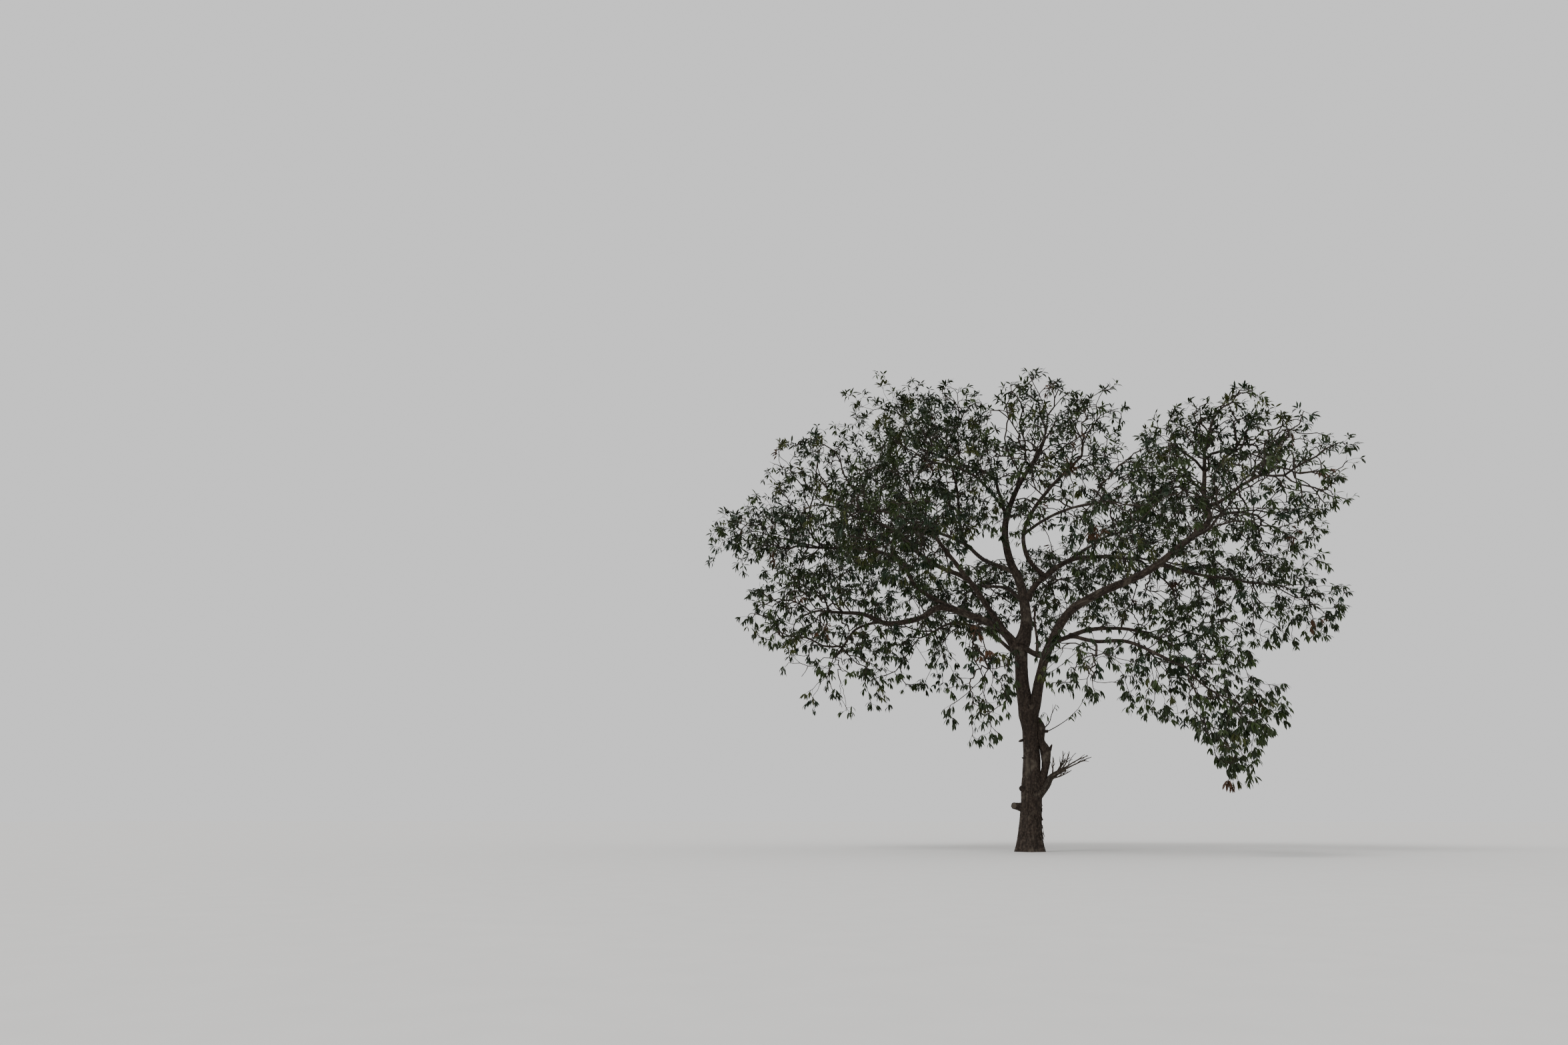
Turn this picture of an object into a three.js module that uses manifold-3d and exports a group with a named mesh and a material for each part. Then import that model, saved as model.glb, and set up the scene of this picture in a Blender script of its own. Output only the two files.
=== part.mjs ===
// A lone broad-leaved field tree in full leaf, spreading like an umbrella over a short leaning trunk.
// Millimetres, +Z up, the view of the photograph looks along +Y with +X to the right.
// The origin is the middle of the flat cut under the trunk, at ground level.
// Trunk and boughs are tapering limbs, one node each. Each mass of foliage is one node too: twigs that
// branch by a seeded rule from one stem, with leaves fused on, kept inside a space of its own.

import * as THREE from "three";
import { mergeVertices } from "three/addons/utils/BufferGeometryUtils.js";
import Module from "manifold-3d";

const wasm = await Module();
wasm.setup();

const METRE = 1000;

// Clearances
const MERGE = 1e-4; // corners this near are one
const SLIVER = 0.05; // joints leave no triangles thinner than this
const TOUCH_GAP = 0.35; // between a limb and what carries it
const SPACE_MARGIN = 12; // from a leaf or twig to the edge of its mass's space
const LIMB_CLEARANCE = 22; // from a leaf or twig to any limb
const WATCH_STEP = 45; // between the places along limbs and twigs where that is tested

// Trunk: the axis that leans and sways, and the radius at heights above the ground
const TRUNK_AXIS = [
  [0, 0, 0],
  [30, 0, 480],
  [95, 0, 1190],
  [130, 0, 1760],
  [140, 0, 2280],
  [100, 5, 2750],
  [45, 15, 3150],
  [40, 50, 3640],
  [60, 100, 4060],
];
const TRUNK_GIRTH = [
  [0, 232],
  [480, 218],
  [1150, 202],
  [1450, 184],
  [1900, 164],
  [2300, 166],
  [2650, 186],
  [3000, 146],
  [3500, 134],
  [4060, 138],
];
const TRUNK_SIDES = 14;
const TRUNK_STEPS = 16;
const FLARE_REACH = 0.34; // how much wider the foot is than the trunk, as a share
const FLARE_HEIGHT = 230; // over which the flare fades by about two thirds
const FLARE_LOBES = 5; // root buttresses
const LOBE_DEPTH = 0.3; // share of the flare that comes and goes from lobe to lobe

// Limbs
const LIMB_SIDES = 7;
const THIN_LIMB = 53; // thinner ones at the root have fewer sides
const THIN_LIMB_SIDES = 5;
const LIMB_STEP = 480; // about one ring each
const LIMB_LEAST_STEPS = 3;
const STEEP = 0.8; // rise of a limb whose first direction across is taken from +X instead of from above
const TAPER_POWER = 0.8; // under 1 keeps a limb thick for longer

// Boughs: what carries each, how far along that it leaves, the points it passes and its radius at both
// ends. middle and reach give the ellipsoid that the foliage at its tip keeps to, and fullness says how
// many twigs it has there for its size.
const BOUGHS = {
  right: {
    from: "trunk",
    at: 0.6,
    through: [
      [240, -50, 2810],
      [330, -90, 3200],
      [560, -100, 3880],
      [1050, -120, 4680],
      [1560, -200, 4980],
      [2600, -400, 5400],
      [3550, -500, 6060],
      [3900, -400, 6400],
      [3890, -250, 6900],
      [3980, -100, 7600],
    ],
    girth: [106, 38],
    middle: [4580, -100, 8000],
    reach: [1410, 1950, 1290],
    fullness: 1,
  },
  top_middle: {
    from: "trunk",
    at: 1,
    through: [
      [190, 200, 4500],
      [200, 300, 5080],
      [100, 400, 5570],
      [-60, 400, 5980],
      [-120, 400, 6700],
      [140, 300, 7440],
      [560, 100, 8080],
    ],
    girth: [122, 34],
    middle: [680, 0, 8820],
    reach: [1180, 1850, 1190],
    fullness: 0.8,
  },
  left: {
    from: "trunk",
    at: 0.97,
    through: [
      [-350, 100, 4450],
      [-880, 0, 4710],
      [-1560, -100, 4900],
      [-1980, -200, 4680],
      [-2680, -200, 4590],
      [-3180, -200, 4810],
      [-3650, -250, 4860],
    ],
    girth: [94, 34],
    middle: [-4360, -300, 4840],
    reach: [1520, 1850, 1000],
    fullness: 0.95,
  },
  front_left: {
    from: "left",
    at: 0.06,
    through: [
      [-520, -400, 4760],
      [-810, -900, 5160],
      [-1260, -1900, 5660],
      [-1510, -2600, 5940],
    ],
    girth: [66, 33],
    middle: [-2250, -3050, 6120],
    reach: [1340, 2000, 1200],
    fullness: 1.05,
  },
  outer_left: {
    from: "front_left",
    at: 0.52,
    through: [
      [-1570, -1300, 5590],
      [-1970, -1200, 5920],
      [-2250, -1100, 6270],
      [-2940, -1000, 6740],
    ],
    girth: [50, 29],
    middle: [-3840, -900, 7430],
    reach: [1350, 1950, 1440],
    fullness: 1.05,
  },
  far_left: {
    from: "left",
    at: 0.4,
    through: [
      [-2040, -50, 5400],
      [-2380, 0, 6000],
      [-3130, 200, 6340],
      [-4250, 400, 6490],
    ],
    girth: [46, 27],
    middle: [-5160, 350, 6500],
    reach: [1740, 1900, 1330],
    fullness: 1,
  },
  hanging_left: {
    from: "left",
    at: 0.8,
    through: [
      [-3330, -300, 4480],
      [-3600, -500, 4050],
    ],
    girth: [30, 21],
    middle: [-3620, -800, 3520],
    reach: [1260, 1600, 1110],
    fullness: 0.85,
  },
  hanging_front: {
    from: "left",
    at: 0.16,
    through: [
      [-720, -1100, 4350],
      [-810, -2050, 3900],
    ],
    girth: [32, 21],
    middle: [-790, -2700, 2780],
    reach: [720, 1500, 1040],
    fullness: 0.8,
  },
  back_low_left: {
    from: "trunk",
    at: 0.93,
    through: [
      [-510, 800, 4430],
      [-920, 1500, 4760],
      [-1510, 2150, 4960],
      [-1950, 2600, 4850],
    ],
    girth: [42, 24],
    middle: [-2720, 2750, 4330],
    reach: [1220, 1750, 1450],
    fullness: 0.9,
  },
  middle_left: {
    from: "top_middle",
    at: 0.22,
    through: [
      [-150, 900, 5450],
      [-620, 1700, 5700],
      [-950, 2400, 5850],
    ],
    girth: [44, 26],
    middle: [-1300, 3150, 5830],
    reach: [1450, 1850, 1160],
    fullness: 1,
  },
  back_left: {
    from: "top_middle",
    at: 0.4,
    through: [
      [-570, 1200, 6170],
      [-1100, 2000, 6820],
      [-1670, 2600, 7250],
      [-2250, 3050, 7500],
    ],
    girth: [54, 29],
    middle: [-3130, 3400, 7560],
    reach: [1860, 2050, 1630],
    fullness: 1.1,
  },
  upper_left: {
    from: "back_left",
    at: 0.55,
    through: [
      [-1130, 1150, 7200],
      [-1120, 750, 7700],
      [-1200, 500, 8150],
    ],
    girth: [35, 24],
    middle: [-1200, 200, 8750],
    reach: [1130, 1700, 1280],
    fullness: 1,
  },
  top_left: {
    from: "top_middle",
    at: 0.68,
    through: [
      [-210, 600, 7560],
      [-330, 850, 8050],
      [-900, 900, 8350],
      [-1620, 650, 8620],
    ],
    girth: [38, 24],
    middle: [-2530, 100, 8920],
    reach: [1420, 1850, 1430],
    fullness: 1,
  },
  front_top_left: {
    from: "top_middle",
    at: 0.7,
    through: [
      [-510, -600, 7430],
      [-880, -1400, 7490],
      [-1430, -2000, 7500],
    ],
    girth: [32, 22],
    middle: [-1550, -2600, 7220],
    reach: [1270, 1850, 1160],
    fullness: 1.05,
  },
  back_right_low: {
    from: "top_middle",
    at: 0.24,
    through: [
      [540, 400, 5490],
      [1150, 900, 6000],
      [1760, 1600, 6250],
      [2600, 2250, 6300],
    ],
    girth: [64, 29],
    middle: [3450, 2750, 6010],
    reach: [1450, 1900, 1200],
    fullness: 1.05,
  },
  back_right: {
    from: "back_right_low",
    at: 0.42,
    through: [
      [1640, 1850, 6500],
      [2180, 2800, 7000],
      [2650, 3350, 7250],
    ],
    girth: [36, 24],
    middle: [3310, 3700, 7490],
    reach: [1570, 1900, 1490],
    fullness: 1.1,
  },
  back_middle: {
    from: "back_right_low",
    at: 0.16,
    through: [
      [800, 1700, 5850],
      [980, 2850, 6030],
    ],
    girth: [34, 24],
    middle: [1340, 3550, 5870],
    reach: [1490, 1900, 1190],
    fullness: 1,
  },
  top_right: {
    from: "back_right_low",
    at: 0.2,
    through: [
      [330, 300, 5970],
      [250, 180, 6460],
      [490, -80, 6930],
      [810, -350, 7260],
      [1350, -650, 7700],
    ],
    girth: [52, 28],
    middle: [1700, -700, 8190],
    reach: [920, 1900, 1460],
    fullness: 0.85,
  },
  front_top_right: {
    from: "top_right",
    at: 0.36,
    through: [
      [590, -600, 6500],
      [1080, -1800, 6400],
      [1560, -2650, 6250],
    ],
    girth: [34, 24],
    middle: [2290, -3150, 6110],
    reach: [1160, 1950, 1080],
    fullness: 1.05,
  },
  front_top: {
    from: "top_middle",
    at: 0.84,
    through: [
      [270, -900, 7560],
      [350, -1850, 7420],
    ],
    girth: [31, 22],
    middle: [280, -2700, 7380],
    reach: [1190, 1900, 1060],
    fullness: 0.8,
  },
  right_tip: {
    from: "right",
    at: 0.87,
    through: [
      [4200, -450, 6800],
      [4500, -800, 6970],
      [4800, -1150, 7050],
    ],
    girth: [37, 25],
    middle: [5310, -1200, 7090],
    reach: [1260, 1900, 1200],
    fullness: 0.85,
  },
  right_back: {
    from: "right",
    at: 0.83,
    through: [
      [4350, 200, 6680],
      [4780, 700, 6820],
      [5050, 1050, 6860],
    ],
    girth: [34, 24],
    middle: [5430, 1650, 6510],
    reach: [1210, 1850, 1170],
    fullness: 0.8,
  },
  front_right: {
    from: "right",
    at: 0.74,
    through: [
      [3680, -1350, 5960],
      [3770, -2050, 6020],
    ],
    girth: [34, 24],
    middle: [3790, -2700, 6250],
    reach: [1080, 1800, 1060],
    fullness: 0.95,
  },
  middle_right: {
    from: "right",
    at: 0.92,
    through: [
      [3800, 150, 7350],
      [3740, 450, 7620],
    ],
    girth: [34, 24],
    middle: [3600, 1000, 8030],
    reach: [980, 1700, 1300],
    fullness: 0.9,
  },
  low_right: {
    from: "right",
    at: 0.63,
    through: [
      [3650, -150, 5350],
      [4500, 150, 5230],
    ],
    girth: [39, 26],
    middle: [5180, 450, 4940],
    reach: [1430, 1950, 1160],
    fullness: 0.8,
  },
  back_low_right: {
    from: "right",
    at: 0.245,
    through: [
      [1230, 400, 4340],
      [1670, 900, 4510],
      [2270, 1350, 4560],
      [2710, 1750, 4510],
      [3150, 2050, 4350],
    ],
    girth: [52, 27],
    middle: [3770, 2300, 4330],
    reach: [1340, 1850, 890],
    fullness: 0.9,
  },
  drooping_right: {
    from: "back_low_right",
    at: 0.17,
    through: [
      [1500, -450, 4020],
      [2050, -1200, 3870],
      [2780, -1900, 3350],
    ],
    girth: [44, 26],
    middle: [3500, -2100, 2440],
    reach: [1130, 1700, 1490],
    fullness: 1,
  },
  hanging_right: {
    from: "drooping_right",
    at: 0.28,
    through: [
      [1450, -1400, 3780],
      [1380, -2200, 3520],
    ],
    girth: [30, 20],
    middle: [1280, -2650, 3110],
    reach: [920, 1550, 710],
    fullness: 0.8,
  },
};

// Sky that shows through the crown, as ellipses seen by the viewer: their middles and half sizes, across
// and up, on the upright plane through the trunk's foot. Foliage keeps out of the cones behind them.
const VIEWER = [0, -22000, 628];
const GAPS = {
  beside_fork_left: { at: [-500, 6720], reach: [360, 510] },
  beside_fork_right: { at: [910, 6560], reach: [650, 350] },
  over_fork: { at: [1110, 7460], reach: [220, 130] },
  under_fork: { at: [930, 5880], reach: [190, 200] },
  right_of_fork: { at: [1880, 6570], reach: [200, 200] },
  low_left: { at: [-4000, 5000], reach: [670, 210] },
  low_middle: { at: [-2240, 4910], reach: [620, 140] },
  beside_trunk: { at: [-1020, 4160], reach: [630, 240] },
  lowest_left: { at: [-4040, 4130], reach: [410, 230] },
  low_right: { at: [3980, 5070], reach: [370, 160] },
  over_droop: { at: [4960, 3450], reach: [500, 260] },
  notch_right: { at: [6010, 7200], reach: [200, 140] },
  under_droop: { at: [2310, 1330], reach: [1360, 1200] },
  beside_droop: { at: [5160, 1630], reach: [830, 750] },
};

// Foliage: each leaf stands for a spray of leaves
const TWIG_DENSITY = 3.9; // twigs in a space whose half sizes are a metre each way
const FIRST_SEED = 501; // the next masses have the numbers after it
const TARGET_TRIES = 14; // the farthest from the others is taken, which spreads the twigs evenly
const TARGET_REACH = 0.76; // of the space, leaving room for the leaves
const STEM_LENGTH = 230; // up to the first fork
const PATH_WEIGHT = 0.35; // how much a long way round counts against a twig's starting place
const TWIG_SAG = 0.1; // bow of a twig as a share of its length
const TWIG_TIP = 11; // radius
const TWIG_SIDES = 3;
const STEM_SHARE = 0.82; // stem radius as a share of its bough's tip
const LEAF_LENGTH = 1450;
const LEAF_WIDTH = 0.54; // share of its length
const LEAF_THICKNESS = 0.02; // share of its length
const LEAF_WIDEST = 0.45; // share of its length
const KEEL_SHARE = 2 / 3; // of the thickness below the edges of a leaf that ends a twig
const LEAF_POINT = 3; // radius of the tip of a leaf that ends a twig
const LEAF_CHECKS = 14; // rows tested from each end of a blade to its widest place
const LEAF_SIZES = [1, 0.86, 0.72, 0.58]; // tried in turn until one fits in the space
const LEAF_TRIES = 16; // directions tried for each size
const LEAF_OUTWARD = 0.4; // how much a leaf turns away from the middle of its mass
const LEAF_STRAY = 1.4; // how much it turns aside at random

// Old wounds and dead wood low on the trunk
const CUT_STEM = {
  path: [
    [215, -20, 1130],
    [365, -40, 1620],
    [415, -50, 1890],
    [330, -40, 2150],
    [360, -40, 2400],
    [300, -20, 2580],
  ],
  girth: [
    [0, 74],
    [0.3, 80],
    [0.5, 98],
    [0.68, 62],
    [0.86, 76],
    [1, 46],
  ],
  spurs: [
    { from: [425, -50, 1880], to: [545, -60, 2050], girth: [62, 12] },
    { from: [360, -40, 2330], to: [485, -60, 2310], girth: [40, 30] },
  ],
  steps: 8,
  spurSides: 5,
};
const STUB = { from: [-60, -20, 830], to: [-320, -60, 880], girth: [78, 70] };
const DEAD_BRANCH = {
  steps: 4,
  path: [
    [190, 0, 1030],
    [385, -20, 1260],
    [460, -30, 1390],
    [560, -40, 1470],
    [660, -45, 1520],
    [780, -50, 1560],
  ],
  girth: [92, 28],
  twigs: [
    { at: 0.8, to: [880, 110, 1800] },
    { at: 0.86, to: [1280, -150, 1790] },
    { at: 0.92, to: [1230, 90, 1830] },
    { at: 0.64, to: [540, -170, 1810] },
    { at: 0.72, to: [745, 60, 1930] },
    { at: 0.78, to: [870, -40, 1910] },
    { at: 0.55, to: [880, -190, 1540] },
  ],
  twigGirth: [14, 6],
};

const BARK = { color: 0x54453a, roughness: 0.92, metalness: 0 };
const DEAD_WOOD = { color: 0x5f5348, roughness: 0.95, metalness: 0 };
const LEAF = { color: 0x2f4a22, roughness: 0.6, metalness: 0 };

// Seeded numbers from 0 to 1, the same on every run
const SEED_FACTOR = 1664525;
const SEED_STEP = 1013904223;
const SEED_RANGE = 2 ** 32;

function seeded(seed) {
  let state = seed;
  return () => {
    state = (state * SEED_FACTOR + SEED_STEP) % SEED_RANGE;
    return state / SEED_RANGE;
  };
}

function vector([x, y, z]) {
  return new THREE.Vector3(x, y, z);
}

function curveThrough(points) {
  return new THREE.CatmullRomCurve3(points, false, "centripetal");
}

// Value at place x in a list of [place, value] pairs
function between(pairs, x) {
  let k = 1;
  while (k < pairs.length - 1 && pairs[k][0] < x) k += 1;
  const [x0, v0] = pairs[k - 1];
  const [x1, v1] = pairs[k];
  const share = THREE.MathUtils.clamp((x - x0) / (x1 - x0), 0, 1);
  return v0 + (v1 - v0) * share;
}

// The corners of one end of an upright unit cylinder, in order round it
function endRing(position, y) {
  const ring = [];
  for (let i = 0; i < position.count; i += 1) {
    if (Math.abs(position.getY(i) - y) < MERGE) ring.push(i);
  }
  const angle = (i) => Math.atan2(position.getX(i), position.getZ(i));
  return ring.sort((a, b) => angle(a) - angle(b));
}

// Places along a limb or twig, each with two directions across it that turn as little as they can
function spineOf(points, tangents) {
  const aside = Math.abs(tangents[0].z) < STEEP ? new THREE.Vector3(0, 0, 1) : new THREE.Vector3(1, 0, 0);
  let across = aside.clone().cross(tangents[0]);
  return points.map((point, i) => {
    across = across.clone().addScaledVector(tangents[i], -across.dot(tangents[i])).normalize();
    return { point, across, up: tangents[i].clone().cross(across) };
  });
}

function evenSpine(curve, steps) {
  const shares = Array.from({ length: steps + 1 }, (_, i) => i / steps);
  const points = shares.map((share) => curve.getPointAt(share));
  const tangents = shares.map((share) => curve.getTangentAt(share));
  return spineOf(points, tangents);
}

function spineThrough(points) {
  const curve = curveThrough(points);
  return spineOf(points, points.map((_, i) => curve.getTangent(i / (points.length - 1))));
}

// A closed tube along a spine; cornerAt(ring, angle) gives a corner's distances across and up
function tube(spine, cornerAt, sides) {
  const steps = spine.length - 1;
  const open = new THREE.CylinderGeometry(1, 1, 1, sides, steps, true);
  open.deleteAttribute("normal");
  open.deleteAttribute("uv");
  const geometry = mergeVertices(open, MERGE);
  const position = geometry.getAttribute("position");
  const tip = endRing(position, 0.5);
  const foot = endRing(position, -0.5).reverse();
  for (let i = 0; i < position.count; i += 1) {
    const ring = Math.round((position.getY(i) + 0.5) * steps);
    const [right, rise] = cornerAt(ring, Math.atan2(-position.getZ(i), position.getX(i)));
    const { point, across, up } = spine[ring];
    const corner = point.clone().addScaledVector(across, right).addScaledVector(up, rise);
    position.setXYZ(i, corner.x, corner.y, corner.z);
  }
  const faces = [...geometry.index.array];
  for (const ring of [tip, foot]) {
    for (let i = 1; i < sides - 1; i += 1) faces.push(ring[0], ring[i], ring[i + 1]);
  }
  geometry.setIndex(faces);
  return geometry;
}

// A round tube along a curve whose radius follows radiusAt(share of the length, angle round it).
// With a gap it is that much bigger all round and at both ends: the room that its neighbours leave it.
function roundTube(curve, radiusAt, sides, steps, gap = 0) {
  const spine = evenSpine(curve, steps);
  spine[0].point.addScaledVector(curve.getTangentAt(0), -gap);
  spine.at(-1).point.addScaledVector(curve.getTangentAt(1), gap);
  const extra = gap / Math.cos(Math.PI / sides);
  const cornerAt = (ring, angle) => {
    const radius = radiusAt(ring / steps, angle) + extra;
    return [radius * Math.cos(angle), radius * Math.sin(angle)];
  };
  return tube(spine, cornerAt, sides);
}

function toSolid(geometry) {
  const solid = new wasm.Manifold(
    new wasm.Mesh({
      numProp: 3,
      vertProperties: new Float32Array(geometry.getAttribute("position").array),
      triVerts: new Uint32Array(geometry.index.array),
    }),
  );
  if (solid.volume() <= 0) throw new Error("a piece is inside out");
  return solid;
}

// The largest body of a solid, without loose scraps and with any sealed hollow filled
function largestBody(solid) {
  const bodies = solid.decompose();
  return bodies.reduce((best, body) => (body.volume() > best.volume() ? body : best));
}

function toGeometry(solid) {
  const mesh = solid.getMesh();
  const geometry = new THREE.BufferGeometry();
  geometry.setAttribute("position", new THREE.BufferAttribute(new Float32Array(mesh.vertProperties), 3));
  geometry.setIndex(new THREE.BufferAttribute(new Uint32Array(mesh.triVerts), 1));
  return geometry;
}

const tree = new THREE.Group();

function addNode(name, solid, look) {
  const geometry = toGeometry(largestBody(solid).simplify(SLIVER));
  const mesh = new THREE.Mesh(geometry, new THREE.MeshStandardMaterial(look));
  mesh.name = name;
  tree.add(mesh);
}

function taper([thick, thin], share) {
  return thin + (thick - thin) * (1 - share) ** TAPER_POWER;
}

// Trunk

function trunkRadius(share, angle) {
  const height = share * TRUNK_AXIS.at(-1)[2];
  const flare = FLARE_REACH * Math.exp(-height / FLARE_HEIGHT);
  const lobe = 1 + LOBE_DEPTH * Math.cos(FLARE_LOBES * angle);
  return between(TRUNK_GIRTH, height) * (1 + flare * lobe);
}

// The lowest ring is laid level, so that the cut at the ground is flat
function trunkTube(gap) {
  const curve = limbs.trunk.curve;
  const geometry = roundTube(curve, trunkRadius, TRUNK_SIDES, TRUNK_STEPS, gap);
  const position = geometry.getAttribute("position");
  const footTop = curve.getPointAt(1 / TRUNK_STEPS).z / 2;
  for (let i = 0; i < position.count; i += 1) {
    if (position.getZ(i) < footTop) position.setZ(i, 0);
  }
  return toSolid(geometry);
}

// Limbs: the curve of each, worked out from the limb that carries it

const limbs = {
  trunk: { curve: curveThrough(TRUNK_AXIS.map(vector)), radiusAt: (share) => trunkRadius(share, 0) },
};
for (const [name, bough] of Object.entries(BOUGHS)) {
  const start = limbs[bough.from].curve.getPointAt(bough.at);
  limbs[name] = {
    curve: curveThrough([start, ...bough.through.map(vector)]),
    radiusAt: (share) => taper(bough.girth, share),
  };
}

function boughTube(name, gap) {
  const { curve, radiusAt } = limbs[name];
  const sides = BOUGHS[name].girth[0] < THIN_LIMB ? THIN_LIMB_SIDES : LIMB_SIDES;
  const steps = Math.max(LIMB_LEAST_STEPS, Math.round(curve.getLength() / LIMB_STEP));
  return toSolid(roundTube(curve, radiusAt, sides, steps, gap));
}

// Each later limb is cut clear of the ones before it
const limbReserves = [trunkTube(TOUCH_GAP)];
addNode("trunk", trunkTube(0), BARK);

for (const name of Object.keys(BOUGHS)) {
  let solid = boughTube(name, 0);
  for (const reserve of limbReserves) solid = solid.subtract(reserve);
  limbReserves.push(boughTube(name, TOUCH_GAP));
  addNode(`bough_${name}`, solid, BARK);
}

// Old wounds and dead wood

function straightTube(from, to, [thick, thin], sides, gap = 0) {
  const curve = new THREE.LineCurve3(from, to);
  return toSolid(roundTube(curve, (share) => thick + (thin - thick) * share, sides, 1, gap));
}

function cutStem(gap) {
  const curve = curveThrough(CUT_STEM.path.map(vector));
  const radiusAt = (share) => between(CUT_STEM.girth, share);
  let solid = toSolid(roundTube(curve, radiusAt, LIMB_SIDES, CUT_STEM.steps, gap));
  for (const { from, to, girth } of CUT_STEM.spurs) {
    solid = solid.add(straightTube(vector(from), vector(to), girth, CUT_STEM.spurSides, gap));
  }
  return solid;
}

function deadBranch() {
  const curve = curveThrough(DEAD_BRANCH.path.map(vector));
  const radiusAt = (share) => taper(DEAD_BRANCH.girth, share);
  let solid = toSolid(roundTube(curve, radiusAt, LIMB_SIDES, DEAD_BRANCH.steps));
  for (const { at, to } of DEAD_BRANCH.twigs) {
    solid = solid.add(straightTube(curve.getPointAt(at), vector(to), DEAD_BRANCH.twigGirth, TWIG_SIDES));
  }
  return solid;
}

function stub() {
  return straightTube(vector(STUB.from), vector(STUB.to), STUB.girth, LIMB_SIDES);
}

const [trunkReserve] = limbReserves;
addNode("cut_stem", cutStem(0).subtract(trunkReserve), BARK);
addNode("dead_branch", deadBranch().subtract(trunkReserve).subtract(cutStem(TOUCH_GAP)), DEAD_WOOD);
addNode("cut_stub", stub().subtract(trunkReserve), DEAD_WOOD);

// Spaces: an ellipsoid round each mass's middle, cut by a plane halfway to each of the others

const spaces = {};
for (const [name, { middle, reach, fullness }] of Object.entries(BOUGHS)) {
  spaces[name] = { middle: vector(middle), reach: vector(reach), fullness, walls: [] };
}

function reachToward(space, direction) {
  return space.reach.clone().multiply(direction).length();
}

for (const space of Object.values(spaces)) {
  for (const other of Object.values(spaces)) {
    if (other === space) continue;
    const normal = other.middle.clone().sub(space.middle);
    const apart = normal.length();
    normal.normalize();
    const own = reachToward(space, normal);
    const share = own / (own + reachToward(other, normal));
    if (apart * share < own) space.walls.push({ normal, distance: apart * share - SPACE_MARGIN });
  }
}

// Whether a point is seen through one of the crown's gaps
function inGap(point) {
  const [eyeX, eyeY, eyeZ] = VIEWER;
  const share = -eyeY / (point.y - eyeY);
  const across = eyeX + (point.x - eyeX) * share;
  const height = eyeZ + (point.z - eyeZ) * share;
  return Object.values(GAPS).some(({ at, reach }) => {
    return Math.hypot((across - at[0]) / reach[0], (height - at[1]) / reach[1]) < 1;
  });
}

function inSpace(space, point, scale = 1) {
  const offset = point.clone().sub(space.middle);
  if (offset.clone().divide(space.reach).length() > scale || inGap(point)) return false;
  return space.walls.every((wall) => offset.dot(wall.normal) < wall.distance);
}

// Places along the limbs, with the radius there, to keep leaves and twigs off them
const watchPoints = [];
for (const { curve, radiusAt } of Object.values(limbs)) {
  const count = Math.ceil(curve.getLength() / WATCH_STEP);
  for (let i = 0; i <= count; i += 1) {
    const share = i / count;
    watchPoints.push({ point: curve.getPointAt(share), radius: radiusAt(share) });
  }
}

function nearbyWatchPoints(space) {
  const far = Math.max(...space.reach.toArray()) + LEAF_LENGTH;
  return watchPoints.filter((watch) => watch.point.distanceTo(space.middle) < far);
}

function clearOfLimbs(watched, point) {
  return watched.every((watch) => watch.point.distanceTo(point) > watch.radius + LIMB_CLEARANCE);
}

// Twigs: seeded targets spread through the space, each joined to the nearest part of the twigs so far

function randomPointIn(space, scale, random) {
  for (;;) {
    const point = new THREE.Vector3(random() * 2 - 1, random() * 2 - 1, random() * 2 - 1);
    if (point.length() > 1) continue;
    point.multiply(space.reach).multiplyScalar(scale).add(space.middle);
    if (inSpace(space, point, scale)) return point;
  }
}

function spreadTargets(space, count, random) {
  const targets = [];
  while (targets.length < count) {
    let best = null;
    let bestRoom = -1;
    for (let i = 0; i < TARGET_TRIES; i += 1) {
      const point = randomPointIn(space, TARGET_REACH, random);
      const room = Math.min(...targets.map((target) => target.distanceTo(point)));
      if (room > bestRoom) {
        best = point;
        bestRoom = room;
      }
    }
    targets.push(best);
  }
  return targets;
}

function twigCount(space) {
  const [x, y, z] = space.reach.toArray().map((reach) => reach / METRE);
  return Math.round(TWIG_DENSITY * space.fullness * Math.sqrt(x * y * z));
}

function segmentIsFree(from, to, space, watched) {
  const samples = Math.ceil(from.distanceTo(to) / WATCH_STEP);
  for (let i = 1; i <= samples; i += 1) {
    const point = from.clone().lerp(to, i / samples);
    if (!clearOfLimbs(watched, point)) return false;
  }
  return inSpace(space, to);
}

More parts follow.
